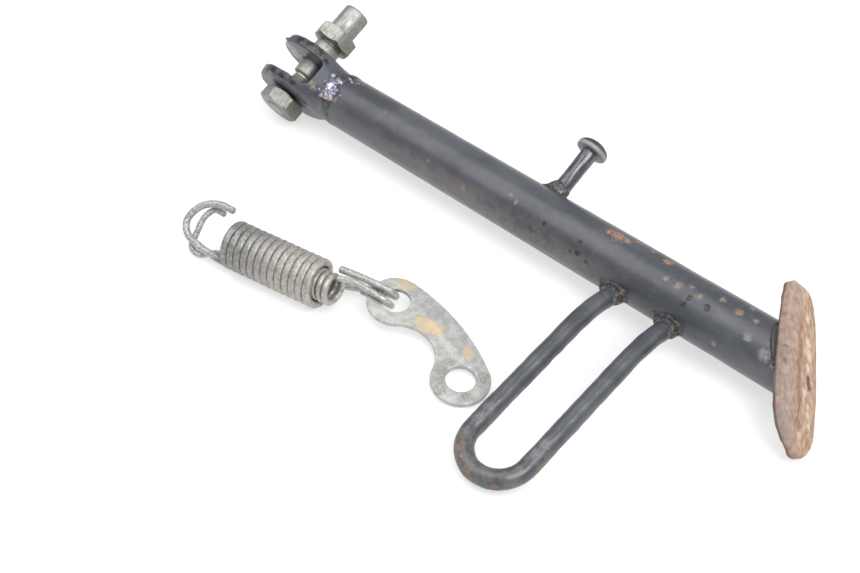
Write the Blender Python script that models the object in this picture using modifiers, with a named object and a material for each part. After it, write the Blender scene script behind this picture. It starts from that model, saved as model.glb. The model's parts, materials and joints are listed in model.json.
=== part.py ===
"""Side stand (kickstand) of a small motorcycle, taken off the machine and laid on a table.

A tubular leg with a forged fork, a welded spring post, a bent foot loop and a curved foot
plate. Its pivot bolt and nut stay in the fork. The double return spring and its link plate
lie beside the leg, hooked together. Units are metres, +X runs along the leg from pivot to
foot, +Z is up and Z = 0 is the table.
"""
import bpy
import bmesh
from math import atan2, cos, pi, radians, sin, sqrt, tan
from mathutils import Euler, Matrix, Vector

MM = 0.001
GAP = 0.3 * MM                      # clearance between pieces that touch

# Leg frame: origin where the bolt's axis crosses the tube's axis, X along the tube,
# Y along the bolt towards its hexagon, Z square to both. It is rolled about the tube.
PIVOT = Vector((-140.33, 37.87, 18.5)) * MM
PLAN = Vector((PIVOT.x, PIVOT.y, 0.0))  # point of the table below the pivot
ROLL = radians(25.3)

TUBE_R = 12.7 * MM                  # 1 inch tube
TUBE_WALL = 2.2 * MM
TUBE_START = 29.0 * MM              # where the tube meets the fork
FOOT_X = 281.0 * MM                 # where the tube's axis meets the foot plate

EAR_R = 17.6 * MM                   # rounded tip of the fork's ears
EAR_UNDER = 15.2 * MM               # height of the ears' lower halves
EAR_NEAR_SIDE = -12.2 * MM          # outside of the two ears
EAR_FAR_SIDE = 13.3 * MM
EAR_HALF_GAP = 7.3 * MM             # inside of the two ears
SLOT_DEPTH = 16.0 * MM              # slot behind the bolt's axis
EAR_STRAIGHT = 4.0 * MM             # where the ears start to narrow towards the root
ROOT_ROUND = 5.0 * MM               # length of the fork's round root
ROOT_R = 12.5 * MM
EAR_SQUARE = 9.0                    # squareness of the fork's section: 2 is round
ROOT_SQUARE = 2.0
FORK_WELD_HALF = 3.2 * MM           # half width and height of the bead round the joint
FORK_WELD_HEIGHT = 1.3 * MM
BOLT_SHOULDER_R = 5.9 * MM
BOLT_THREAD_R = 4.7 * MM
BOLT_END_R = 6.75 * MM              # plain cylinders on the hexagon's two sides
BOLT_NEAR_END = -21.2 * MM
BOLT_STEP = 0.0 * MM                # shoulder meets thread, between the ears
BOLT_COLLAR_END = 20.8 * MM
BOLT_HEX_END = 28.4 * MM
BOLT_FAR_END = 42.3 * MM
HEX_FLAT_R = 9.5 * MM               # half of 19 mm across flats, bolt and nut
HEX_CHAMFER = 0.7 * MM
NUT_INNER = -13.4 * MM
NUT_OUTER = -20.6 * MM
NUT_TURN = radians(-1.3)
HEX_TURN = radians(-15.5)
BOLT_CHAMFER = 0.8 * MM

POST_X = 149.8 * MM
POST_R = 3.9 * MM
POST_HEAD_R = 7.4 * MM
POST_NECK = 36.5 * MM               # underside of the head, from the tube's axis
POST_TOP = 42.0 * MM
POST_HEAD_EDGE = 1.2 * MM           # upright edge of the head, below its dome
POST_WELD_R = 6.0 * MM
POST_WELD_HEIGHT = 3.5 * MM

ROD_R = 4.0 * MM                    # bent rod of the foot loop
LOOP_X = 213.9 * MM                 # middle of the loop along the leg
LOOP_HALF = 13.5 * MM
LOOP_ROOT_ANGLE = radians(10.0)     # of the rod's ends round the tube, up from -Y
LOOP_BEND = Vector((-26.7, 14.8)) * MM   # corner of each run, in the leg frame's Y and Z
LOOP_FALL = radians(14.8)           # slope of the straight runs in the leg frame
LOOP_END_Y = -94.4 * MM
LOOP_WELD_R = 7.2 * MM
LOOP_WELD_HEIGHT = 6.5 * MM
LOOP_WELD_SINK = 1.0 * MM           # start of the rod's centreline below the tube's surface

FOOT_LENGTH = 72.0 * MM
FOOT_WIDTH = 27.5 * MM
FOOT_TAPER = 0.28                   # narrowing of the upper long edge towards both ends
FOOT_CORNER = 0.62                  # roundness of the plate's corners, 0 is square
FOOT_END_BOW = 0.25                 # bulge of its two short ends
FOOT_SHIFT = Vector((-2.2, -2.4)) * MM  # middle of the plate from the tube's axis
FOOT_THICK = 4.5 * MM
FOOT_ARCH = 1.0 * MM
FOOT_CUP = 1.0 * MM
FOOT_LEAN = radians(32.0)           # of the plate's normal from the tube's axis
FOOT_TILT = radians(25.0)
FOOT_WELD_WIDTH = 2.2 * MM
FOOT_WELD_HEIGHT = 2.4 * MM
FOOT_WELD_REACH = 16.0 * MM         # length of the sleeve that the fillet is cut from
FOOT_BACK_GAP = 0.9 * MM            # from the plate's back to the tube's mitred end

# Springs: both coils share one axis, S along it, H square to it and level, Z up.
SPRING_START = PLAN + Vector((57.8, -97.3, 10.9)) * MM
SPRING_TURN = radians(11.1)
OUTER_WIRE_R = 1.6 * MM
OUTER_COIL_R = 9.15 * MM
OUTER_TURNS = 13
OUTER_PITCH = 3.58 * MM
INNER_WIRE_R = 1.35 * MM
INNER_COIL_R = 5.65 * MM
INNER_TURNS = 19
INNER_PITCH = 3.0 * MM
COIL_STEPS = 12                     # points in one turn
HOOK_SPACING = 2.2 * MM             # points along the hooks

LINK_THICK = 2.3 * MM
LINK_SPAN = 46.5 * MM               # between its two holes
LINK_LOBE_R = 12.2 * MM
LINK_HOLE_R = 6.2 * MM
LINK_CROWN = 15.5 * MM              # top of the outer arc
LINK_WAIST = 0.4 * MM               # top of the inner arc
LINK_A = PLAN + Vector((133.3, -72.2, 8.2)) * MM
LINK_B = PLAN + Vector((178.4, -82.0, 2.75)) * MM

CUT = 80.0 * MM                     # length of tools that pass right through a piece

BLACK = (0.018, 0.019, 0.021)
ZINC = (0.47, 0.48, 0.44)
GREY_STEEL = (0.36, 0.35, 0.32)
LINK_ZINC = (0.58, 0.58, 0.55)
RUST = (0.42, 0.25, 0.18)
WELD = (0.16, 0.11, 0.08)


# ---------------------------------------------------------------- helpers

def clear_scene():
    for thing in list(bpy.data.objects):
        bpy.data.objects.remove(thing, do_unlink=True)


def new_collection(name):
    made = bpy.data.collections.new(name)
    bpy.context.scene.collection.children.link(made)
    return made


def material(name, colour, roughness, metallic):
    made = bpy.data.materials.new(name)
    made.use_nodes = True
    shader = made.node_tree.nodes["Principled BSDF"]
    shader.inputs["Base Color"].default_value = (*colour, 1.0)
    shader.inputs["Roughness"].default_value = roughness
    shader.inputs["Metallic"].default_value = metallic
    return made


def add_object(name, data, where, parent=None):
    made = bpy.data.objects.new(name, data)
    where.objects.link(made)
    made.parent = parent
    return made


def finish_piece(piece, look, smooth_angle=35.0):
    piece.data.materials.clear()
    piece.data.materials.append(look)
    if piece.type == "MESH":
        piece.data.shade_smooth()
        piece.data.set_sharp_from_angle(angle=radians(smooth_angle))
    return piece


def bmesh_data(name, build):
    mesh = bpy.data.meshes.new(name)
    bm = bmesh.new()
    build(bm)
    bm.to_mesh(mesh)
    bm.free()
    return mesh


def turned(name, profile, steps, where, parent=None, closed=False):
    """Turn a profile of (radius, height) points, given top to bottom outside, about Z."""
    mesh = bpy.data.meshes.new(name)
    edges = [(i, i + 1) for i in range(len(profile) - 1)]
    if closed:
        edges.append((len(profile) - 1, 0))
    mesh.from_pydata([(r, 0.0, h) for r, h in profile], edges, [])
    piece = add_object(name, mesh, where, parent)
    screw = piece.modifiers.new("turn", "SCREW")
    screw.axis = "Z"
    screw.steps = steps
    screw.render_steps = steps
    screw.use_merge_vertices = True
    screw.merge_threshold = 0.00001
    screw.use_smooth_shade = True
    return piece


def bake(piece):
    """Replace a piece's modifiers, or a curve, by the mesh that they make."""
    bpy.context.view_layer.update()
    shown = piece.evaluated_get(bpy.context.evaluated_depsgraph_get())
    mesh = bpy.data.meshes.new_from_object(shown)
    bm = bmesh.new()
    bm.from_mesh(mesh)
    bmesh.ops.remove_doubles(bm, verts=bm.verts, dist=0.00001)
    bmesh.ops.recalc_face_normals(bm, faces=bm.faces)
    bm.to_mesh(mesh)
    bm.free()
    name, place, parent = piece.name, piece.matrix_local.copy(), piece.parent
    home = piece.users_collection[0]
    bpy.data.objects.remove(piece, do_unlink=True)
    made = add_object(name, mesh, home, parent)
    made.matrix_local = place
    return made


def boolean(piece, tool, operation):
    step = piece.modifiers.new(operation.lower(), "BOOLEAN")
    step.operation = operation
    step.solver = "EXACT"
    step.object = tool
    tool.hide_render = True
    tool.display_type = "WIRE"


def cylinder_mesh(name, radius, length, steps=32):
    def build(bm):
        bmesh.ops.create_cone(bm, cap_ends=True, segments=steps, radius1=radius,
                              radius2=radius, depth=length)
    return bmesh_data(name, build)


def box_mesh(name, size):
    def build(bm):
        bmesh.ops.create_cube(bm, size=1.0)
        bmesh.ops.scale(bm, vec=size, verts=bm.verts)
    return bmesh_data(name, build)


def rod(name, points, radius, where, parent=None, sides=8):
    """A round wire through the points."""
    curve = bpy.data.curves.new(name, "CURVE")
    curve.dimensions = "3D"
    curve.bevel_depth = radius
    curve.bevel_resolution = (sides - 4) // 2
    curve.use_fill_caps = True
    line = curve.splines.new("POLY")
    line.points.add(len(points) - 1)
    for point, place in zip(line.points, points):
        point.co = (*place, 1.0)
    return add_object(name, curve, where, parent)


def smooth_route(points, spacing):
    """A smooth curve through the points, with a point about every spacing."""
    ends = [2 * points[0] - points[1]] + points + [2 * points[-1] - points[-2]]
    route = []
    for before, start, end, after in zip(ends, ends[1:], ends[2:], ends[3:]):
        count = max(1, round((end - start).length / spacing))
        for i in range(count):
            t = i / count
            route.append(0.5 * (2 * start + (end - before) * t
                                + (2 * before - 5 * start + 4 * end - after) * t * t
                                + (3 * start - before - 3 * end + after) * t ** 3))
    route.append(points[-1])
    return route


def along_x(turn=0.0):
    return Matrix.Rotation(radians(90), 4, "Y") @ Matrix.Rotation(turn, 4, "Z")


def along_y(turn=0.0):
    return Matrix.Rotation(radians(-90), 4, "X") @ Matrix.Rotation(turn, 4, "Z")


# ---------------------------------------------------------------- leg weldment

def foot_matrix():
    """Frame of the foot plate: X along its length, Y across it, Z out of its ground side."""
    lean = Matrix.Rotation(FOOT_LEAN, 3, "Z")
    out = lean @ Vector((1.0, 0.0, 0.0))
    along = lean @ Vector((0.0, -1.0, 0.0))
    tilt = Matrix.Rotation(FOOT_TILT, 3, along)
    if (tilt @ out).z < 0.0:
        tilt.transpose()
    out = tilt @ out
    turn = Matrix((along, out.cross(along), out)).transposed().to_4x4()
    return Matrix.Translation((FOOT_X, 0.0, 0.0)) @ turn


def foot_sag(x, y):
    return -FOOT_ARCH * (2 * x / FOOT_LENGTH) ** 2 - FOOT_CUP * (2 * y / FOOT_WIDTH) ** 2


def make_foot_plate(parts, leg):
    """Slightly arched plate with rounded corners, convex towards the ground."""
    long_steps, cross_steps = 20, 8

    def build(bm):
        rows = []
        for i in range(long_steps + 1):
            u = 2 * i / long_steps - 1
            row = []
            for j in range(cross_steps + 1):
                v = 2 * j / cross_steps - 1
                x = 0.5 * FOOT_LENGTH * u * sqrt(1 - FOOT_END_BOW * v * v)
                y = 0.5 * FOOT_WIDTH * v * sqrt(1 - FOOT_CORNER * abs(u) ** 5)
                if v < 0.0:
                    y *= 1 - FOOT_TAPER * u * u
                row.append(bm.verts.new((x + FOOT_SHIFT.x, y + FOOT_SHIFT.y, foot_sag(x, y))))
            rows.append(row)
        for low, high in zip(rows, rows[1:]):
            for j in range(cross_steps):
                bm.faces.new((low[j], high[j], high[j + 1], low[j + 1]))

    plate = add_object("foot_plate", bmesh_data("foot_plate", build), parts, leg)
    plate.matrix_local = foot_matrix()
    shell = plate.modifiers.new("thickness", "SOLIDIFY")
    shell.thickness = FOOT_THICK
    shell.offset = -1.0
    return plate


def make_tube(parts, cutters, leg):
    """Open pipe, its lower end mitred to the back of the foot plate."""
    length = FOOT_X + 20 * MM - TUBE_START
    bore = TUBE_R - TUBE_WALL
    profile = [(TUBE_R, length), (TUBE_R, 0.0), (bore, 0.0), (bore, length)]
    tube = turned("leg_tube", profile, 48, parts, leg, closed=True)
    tube.matrix_local = Matrix.Translation((TUBE_START, 0, 0)) @ along_x()
    slab = add_object("cut_tube_end", box_mesh("cut_tube_end", (CUT, CUT, CUT)), cutters, leg)
    back = -FOOT_THICK - FOOT_ARCH - FOOT_BACK_GAP - GAP
    slab.matrix_local = foot_matrix() @ Matrix.Translation((0, 0, back + CUT / 2))
    boolean(tube, slab, "DIFFERENCE")
    return tube


def fork_section(x):
    """Near and far side, height above and below, and squareness of the fork at x."""
    blend = min(1.0, max(0.0, (x - EAR_STRAIGHT) / (TUBE_START - ROOT_ROUND - EAR_STRAIGHT)))
    blend = blend * blend * (3 - 2 * blend)
    if x < 0.0:
        height = sqrt(max(0.0, EAR_R ** 2 - x ** 2))
    else:
        height = EAR_R + (ROOT_R - EAR_R) * blend
    near = EAR_NEAR_SIDE + (-ROOT_R - EAR_NEAR_SIDE) * blend
    far = EAR_FAR_SIDE + (ROOT_R - EAR_FAR_SIDE) * blend
    under = EAR_UNDER / EAR_R
    under += (1 - under) * min(1.0, max(0.0, x / TUBE_START))
    return near, far, height, height * under, EAR_SQUARE + (ROOT_SQUARE - EAR_SQUARE) * blend


def make_fork(parts, cutters, leg):
    """Forged clevis: two rounded ears that run into a round root as wide as the tube."""
    sides = 40
    stations = [-EAR_R * cos(radians(a)) for a in (3, 14, 28, 42, 56, 70, 90)]
    stations += [x * MM for x in (4, 7.5, 11, 14.5, 18, 21, 24)] + [TUBE_START - GAP]

    def build(bm):
        rings = []
        for x in stations:
            near_side, far_side, above, under, square = fork_section(x)
            middle, width = (near_side + far_side) / 2, (far_side - near_side) / 2
            ring = []
            for i in range(sides):
                angle = 2 * pi * (i + 0.5) / sides
                c, s = cos(angle), sin(angle)
                y = middle + width * abs(c) ** (2 / square) * (1 if c > 0 else -1)
                z = (above if s > 0 else -under) * abs(s) ** (2 / square)
                ring.append(bm.verts.new((x, y, z)))
            rings.append(ring)
        for near, far in zip(rings, rings[1:]):
            for i in range(sides):
                j = (i + 1) % sides
                bm.faces.new((near[i], near[j], far[j], far[i]))
        bm.faces.new(list(reversed(rings[0])))
        bm.faces.new(rings[-1])
        bmesh.ops.recalc_face_normals(bm, faces=bm.faces)

    fork = add_object("pivot_fork", bmesh_data("pivot_fork", build), parts, leg)
    slot_length = SLOT_DEPTH + EAR_R + 5 * MM
    slot = add_object("cut_fork_slot", box_mesh("cut_fork_slot",
                      (slot_length, 2 * EAR_HALF_GAP, CUT)), cutters, leg)
    slot.location = (SLOT_DEPTH - slot_length / 2, 0, 0)
    far_bore = add_object("cut_far_bore", cylinder_mesh(
        "cut_far_bore", BOLT_SHOULDER_R + GAP, 2 * EAR_R), cutters, leg)
    far_bore.matrix_local = Matrix.Translation((0, EAR_R + BOLT_STEP, 0)) @ along_y()
    near_bore = add_object("cut_near_bore", cylinder_mesh(
        "cut_near_bore", BOLT_THREAD_R + GAP, 2 * EAR_R), cutters, leg)
    near_bore.matrix_local = Matrix.Translation((0, BOLT_STEP - EAR_R, 0)) @ along_y()
    for tool in (slot, far_bore, near_bore):
        boolean(fork, tool, "DIFFERENCE")
    return fork


def make_fork_weld(parts, leg):
    """Raised weld bead round the joint of fork and tube."""
    inner = TUBE_R + GAP
    profile = []
    for a in (90, 48, 0, -48, -90):
        profile.append((inner + FORK_WELD_HEIGHT * cos(radians(a)),
                        FORK_WELD_HALF * sin(radians(a))))
    bead = turned("fork_weld", profile, 40, parts, leg, closed=True)
    bead.matrix_local = Matrix.Translation((TUBE_START, 0, 0)) @ along_x()
    return bead


def make_spring_post(parts, leg):
    """Round stud with a domed head that keeps the springs' hooks on."""
    base, dome = TUBE_R + GAP, POST_TOP - POST_NECK
    profile = [(0.0, POST_TOP)]
    for a in (65, 45, 25, 8):
        profile.append((POST_HEAD_R * cos(radians(a)),
                        POST_NECK + POST_HEAD_EDGE + (dome - POST_HEAD_EDGE) * sin(radians(a))))
    profile += [(POST_HEAD_R * 0.93, POST_NECK), (POST_R, POST_NECK), (POST_R, base), (0.0, base)]
    post = turned("spring_post", profile, 24, parts, leg)
    post.matrix_local = Matrix.Translation((POST_X, 0, 0)) @ along_y()
    return post


def weld_collar(name, parts, cutters, leg, place, rod_radius, foot_radius, height, stretch, shift):
    """Fillet round a rod's root, cut clear of the rod and of the tube."""
    sink = 3.0 * MM
    lip = 0.9 * MM

    def build(bm):
        bmesh.ops.create_cone(bm, cap_ends=True, segments=28, radius1=foot_radius,
                              radius2=rod_radius + lip, depth=height + sink)
        bmesh.ops.translate(bm, vec=(0, 0, (height - sink) / 2), verts=bm.verts)
        for vert in bm.verts:
            low = 1 - (vert.co.z + sink) / (height + sink)
            vert.co.x = vert.co.x * (1 + stretch * low) + shift * low

    collar = add_object(name, bmesh_data(name, build), parts, leg)
    collar.matrix_local = place
    hole = add_object("cut_" + name, cylinder_mesh("cut_" + name, rod_radius + GAP, CUT, 24),
                      cutters, leg)
    hole.matrix_local = place
    round_tube = add_object("clear_" + name, cylinder_mesh(
        "clear_" + name, TUBE_R + GAP, CUT, 48), cutters, leg)
    round_tube.matrix_local = Matrix.Translation((place.translation.x, 0, 0)) @ along_x()
    boolean(collar, hole, "DIFFERENCE")
    boolean(collar, round_tube, "DIFFERENCE")
    return collar


def loop_points():
    """Centreline of the foot loop, from inside one root round the end to the other."""
    root = Vector((-cos(LOOP_ROOT_ANGLE), sin(LOOP_ROOT_ANGLE))) * (TUBE_R - LOOP_WELD_SINK)
    bend = LOOP_BEND
    end = Vector((LOOP_END_Y, bend.y + (bend.x - LOOP_END_Y) * tan(LOOP_FALL)))
    start, finish = root.lerp(bend, 0.4), bend.lerp(end, 0.16)
    side = [root, root.lerp(bend, 0.2)]
    for i in range(7):
        t = i / 6
        side.append(start.lerp(bend, t).lerp(bend.lerp(finish, t), t))
    side += [bend.lerp(end, t) for t in (0.58, 1.0)]
    down = (end - bend).normalized()
    points = [Vector((LOOP_X - LOOP_HALF, p.x, p.y)) for p in side]
    turns = 14
    for i in range(1, turns):
        a = pi * i / turns
        over = end + down * LOOP_HALF * sin(a)
        points.append(Vector((LOOP_X - LOOP_HALF * cos(a), over.x, over.y)))
    points += [Vector((LOOP_X + LOOP_HALF, p.x, p.y)) for p in reversed(side)]
    return points


def make_foot_loop(parts, cutters, leg):
    """Bent rod that the rider's foot pushes, with a fillet weld at each root."""
    points = loop_points()
    loop = bake(rod("foot_loop", points, ROD_R, parts, leg, sides=12))
    clear_tube = add_object("clear_foot_loop", cylinder_mesh(
        "clear_foot_loop", TUBE_R + GAP, CUT, 48), cutters, leg)
    clear_tube.matrix_local = Matrix.Translation((LOOP_X, 0, 0)) @ along_x()
    boolean(loop, clear_tube, "DIFFERENCE")
    welds = []
    for name, start, after in (("loop_weld_pivot_side", points[0], points[1]),
                               ("loop_weld_foot_side", points[-1], points[-2])):
        out = (after - start).normalized()
        across = Vector((1, 0, 0))
        place = Matrix((across, out.cross(across), out)).transposed().to_4x4()
        place.translation = start
        welds.append(weld_collar(name, parts, cutters, leg, place, ROD_R, LOOP_WELD_R,
                                 LOOP_WELD_HEIGHT, stretch=0.25, shift=-1.5 * MM))
    return [loop] + welds


def make_foot_weld(parts, cutters, leg):
    """Fillet where the tube's mitred end sits on the back of the foot plate."""
    outside = TUBE_R + FOOT_WELD_WIDTH
    reach = FOOT_WELD_REACH
    profile = [(TUBE_R + GAP, -reach), (outside, -reach), (outside, reach), (TUBE_R + GAP, reach)]
    fillet = turned("foot_plate_weld", profile, 40, parts, leg, closed=True)
    fillet.matrix_local = Matrix.Translation((FOOT_X - reach / 4, 0, 0)) @ along_x()
    back = -FOOT_THICK - FOOT_ARCH - FOOT_BACK_GAP
    for name, middle in (("cut_weld_front", back - GAP + CUT / 2),
                         ("cut_weld_back", back - FOOT_WELD_HEIGHT - CUT / 2)):
        slab = add_object(name, box_mesh(name, (CUT, CUT, CUT)), cutters, leg)
        slab.matrix_local = foot_matrix() @ Matrix.Translation((0, 0, middle))
        boolean(fillet, slab, "DIFFERENCE")
    return fillet


# ---------------------------------------------------------------- bolt and nut

def hexagon(name, low, high, turn, where, cutters, parent):
    """Hexagonal prism along the bolt's axis, its corners turned off at both ends."""
    corner = HEX_FLAT_R / cos(radians(30))
    middle, half = (low + high) / 2, (high - low) / 2

    def build(bm):
        bmesh.ops.create_cone(bm, cap_ends=True, segments=6, radius1=corner, radius2=corner,
                              depth=2 * half)
    prism = add_object(name, bmesh_data(name, build), where, parent)
    prism.matrix_local = Matrix.Translation((0, middle, 0)) @ along_y(turn)
    face_r = HEX_FLAT_R - 0.1 * MM
    side_r = corner + 0.2 * MM
    over = half + HEX_CHAMFER / 8
    profile = [(0.0, over), (face_r, over), (side_r, half - HEX_CHAMFER),
               (side_r, HEX_CHAMFER - half), (face_r, -over), (0.0, -over)]
    blank = turned("blank_" + name, profile, 48, cutters, parent)
    blank.matrix_local = Matrix.Translation((0, middle, 0)) @ along_y()
    boolean(prism, blank, "INTERSECT")
    return prism


def make_bolt(parts, cutters, pin):
    """Stepped bolt: thread, shoulder, collar, hexagon and a plain end cylinder."""
    chamfer = BOLT_CHAMFER
    profile = [(0.0, BOLT_FAR_END), (BOLT_END_R - chamfer, BOLT_FAR_END),
               (BOLT_END_R, BOLT_FAR_END - chamfer), (BOLT_END_R, EAR_FAR_SIDE + GAP),
               (BOLT_SHOULDER_R, EAR_FAR_SIDE + GAP), (BOLT_SHOULDER_R, BOLT_STEP),
               (BOLT_THREAD_R, BOLT_STEP - chamfer), (BOLT_THREAD_R, BOLT_NEAR_END + chamfer),
               (BOLT_THREAD_R - chamfer, BOLT_NEAR_END), (0.0, BOLT_NEAR_END)]
    bolt = turned("pivot_bolt", profile, 32, parts, pin)
    bolt.matrix_local = along_y()
    bolt = bake(bolt)
    head = hexagon("join_bolt_hex", BOLT_COLLAR_END, BOLT_HEX_END, HEX_TURN, cutters,
                   cutters, pin)
    boolean(bolt, head, "UNION")
    return bolt


def make_nut(parts, cutters, pin):
    """Hexagonal nut on the threaded end."""
    nut = hexagon("pivot_nut", NUT_OUTER, NUT_INNER, NUT_TURN, parts, cutters, pin)
    bore = add_object("cut_nut_bore", cylinder_mesh(
        "cut_nut_bore", BOLT_THREAD_R + GAP, 2 * EAR_R), cutters, pin)
    bore.matrix_local = Matrix.Translation((0, (NUT_OUTER + NUT_INNER) / 2, 0)) @ along_y()
    boolean(nut, bore, "DIFFERENCE")
    return nut


# ---------------------------------------------------------------- springs and link

def spring_point(s, h, z):
    """World point at s along the springs' axis, h beside it and z over the table."""
    flat = Matrix.Rotation(SPRING_TURN, 3, "Z") @ Vector((s, h, 0.0)) * MM
    return Vector((SPRING_START.x + flat.x, SPRING_START.y + flat.y, z * MM))


def coil_points(radius, pitch, start_s, start_angle, turns):
    """Helix round the springs' axis; angles run from the level far side upwards."""
    count = round(turns * COIL_STEPS)
    points = []
    for i in range(count + 1):
        angle = start_angle + 2 * pi * i / COIL_STEPS
        s = start_s + pitch * i / COIL_STEPS
        points.append(spring_point(s / MM, radius * cos(angle) / MM,
                                   (SPRING_START.z + radius * sin(angle)) / MM))
    return points


def make_outer_spring(parts):
    left = [spring_point(*p) for p in (
        (-4.4, 10.2, 19.0), (-13.3, 10.2, 18.9), (-20.8, 7.1, 16.5), (-24.3, 1.2, 11.8),
        (-20.9, -3.4, 8.1), (-12.8, -5.5, 6.4), (-4.5, -6.2, 5.2))]
    coil = coil_points(OUTER_COIL_R, OUTER_PITCH, 1.5 * MM, radians(232), OUTER_TURNS + 0.25)
    right = [spring_point(*p) for p in (
        (54.0, 11.5, 2.8), (64.0, 15.6, 2.6), (72.0, 16.6, 3.4), (76.4, 14.0, 6.8),
        (74.8, 11.6, 11.4), (68.0, 10.4, 13.2), (60.0, 9.8, 13.8), (52.0, 9.0, 14.2))]
    points = smooth_route(left + coil[:1], HOOK_SPACING)[:-1] + coil
    points += smooth_route(coil[-1:] + right, HOOK_SPACING)[1:]
    return rod("outer_spring", points, OUTER_WIRE_R, parts)


def make_inner_spring(parts):
    left = [spring_point(*p) for p in (
        (-10.2, 10.3, 14.3), (-15.9, 10.2, 14.2), (-18.6, 5.8, 11.9), (-18.9, 0.6, 7.7),
        (-18.4, -4.8, 3.2), (-13.5, -6.2, 1.9), (-8.0, -3.2, 2.9), (-3.5, -2.6, 4.4))]
    coil = coil_points(INNER_COIL_R, INNER_PITCH, 0.5 * MM, radians(235), INNER_TURNS - 0.5)
    right = [spring_point(*p) for p in (
        (61.0, 6.2, 13.7), (69.5, 6.1, 12.6), (75.5, 6.6, 10.6), (77.8, 8.2, 7.2),
        (75.5, 10.4, 4.4), (68.5, 11.5, 3.6), (61.0, 10.9, 4.2))]
    points = smooth_route(left + coil[:1], HOOK_SPACING)[:-1] + coil
    points += smooth_route(coil[-1:] + right, HOOK_SPACING)[1:]
    return rod("inner_spring", points, INNER_WIRE_R, parts)


def arc(cx, cy, radius, start, end, count):
    return [(cx + radius * cos(start + (end - start) * i / count),
             cy + radius * sin(start + (end - start) * i / count)) for i in range(count + 1)]


def link_outline():
    """Two lobes joined by a wide outer arc and a small hollow inner arc."""
    half = LINK_SPAN / 2
    outer_r = (half ** 2 + LINK_CROWN ** 2 - LINK_LOBE_R ** 2) / (2 * (LINK_CROWN - LINK_LOBE_R))
    outer_y = LINK_CROWN - outer_r
    inner_r = (half ** 2 + LINK_WAIST ** 2 - LINK_LOBE_R ** 2) / (2 * (LINK_LOBE_R + LINK_WAIST))
    inner_y = LINK_WAIST - inner_r
    lean = atan2(-outer_y, half)
    dip = atan2(-inner_y, half)
    points = arc(half, outer_y, outer_r, pi - lean, lean, 14)
    points += arc(LINK_SPAN, 0, LINK_LOBE_R, lean, -pi + dip, 20)[1:]
    points += arc(half, inner_y, inner_r, dip, pi - dip, 12)[1:]
    points += arc(0, 0, LINK_LOBE_R, 2 * pi - dip, pi - lean, 20)[1:-1]
    return points


def make_link_plate(parts):
    """Curved two-hole plate of zinc-plated sheet."""
    curve = bpy.data.curves.new("link_plate", "CURVE")
    curve.dimensions = "2D"
    curve.fill_mode = "BOTH"
    curve.extrude = LINK_THICK / 2
    holes = [arc(x, 0, LINK_HOLE_R, 0, 2 * pi * 23 / 24, 23) for x in (0.0, LINK_SPAN)]
    for outline in [link_outline()] + holes:
        line = curve.splines.new("POLY")
        line.points.add(len(outline) - 1)
        line.use_cyclic_u = True
        for point, (x, y) in zip(line.points, outline):
            point.co = (x, y, 0.0, 1.0)
    plate = add_object("link_plate", curve, parts)
    along = (LINK_B - LINK_A).normalized()
    across = Vector((0, 0, 1)).cross(along).normalized()
    turn = Matrix((along, across, along.cross(across))).transposed().to_4x4()
    turn.translation = LINK_A
    plate.matrix_local = turn
    return bake(plate)


# ---------------------------------------------------------------- assembly

def main():
    clear_scene()
    parts = new_collection("kickstand")
    cutters = new_collection("cutters")
    leg = add_object("leg_frame", None, parts)
    leg.location = PIVOT
    leg.rotation_euler = Euler((ROLL, 0, 0))
    pin = add_object("pivot_axis", None, parts, leg)

    paint = material("black_paint", BLACK, 0.35, 0.0)
    zinc = material("bolt_zinc", ZINC, 0.45, 0.9)
    spring_steel = material("spring_steel", GREY_STEEL, 0.55, 0.8)
    link_zinc = material("link_zinc", LINK_ZINC, 0.45, 0.8)
    rust = material("foot_rust", RUST, 0.85, 0.1)
    weld = material("weld_metal", WELD, 0.6, 0.3)

    for piece in (make_tube(parts, cutters, leg), make_fork(parts, cutters, leg),
                  make_spring_post(parts, leg)):
        finish_piece(piece, paint)
    loop, *loop_welds = make_foot_loop(parts, cutters, leg)
    finish_piece(loop, paint)
    post_place = Matrix.Translation((POST_X, TUBE_R + GAP, 0)) @ along_y()
    post_weld = weld_collar("post_weld", parts, cutters, leg, post_place, POST_R, POST_WELD_R,
                            POST_WELD_HEIGHT, stretch=0.5, shift=-3.0 * MM)
    for piece in [make_fork_weld(parts, leg), post_weld,
                  make_foot_weld(parts, cutters, leg)] + loop_welds:
        finish_piece(piece, weld)
    finish_piece(make_foot_plate(parts, leg), rust)
    finish_piece(make_bolt(parts, cutters, pin), zinc)
    finish_piece(make_nut(parts, cutters, pin), zinc)
    finish_piece(make_outer_spring(parts), spring_steel)
    finish_piece(make_inner_spring(parts), spring_steel)
    finish_piece(make_link_plate(parts), link_zinc)


main()
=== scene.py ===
"""Looks for the kickstand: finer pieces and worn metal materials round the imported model."""
import json
import random
from math import atan2, cos, pi, radians, sin, sqrt, tan

import bmesh
import bpy
from mathutils import Matrix, Vector, noise


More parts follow.
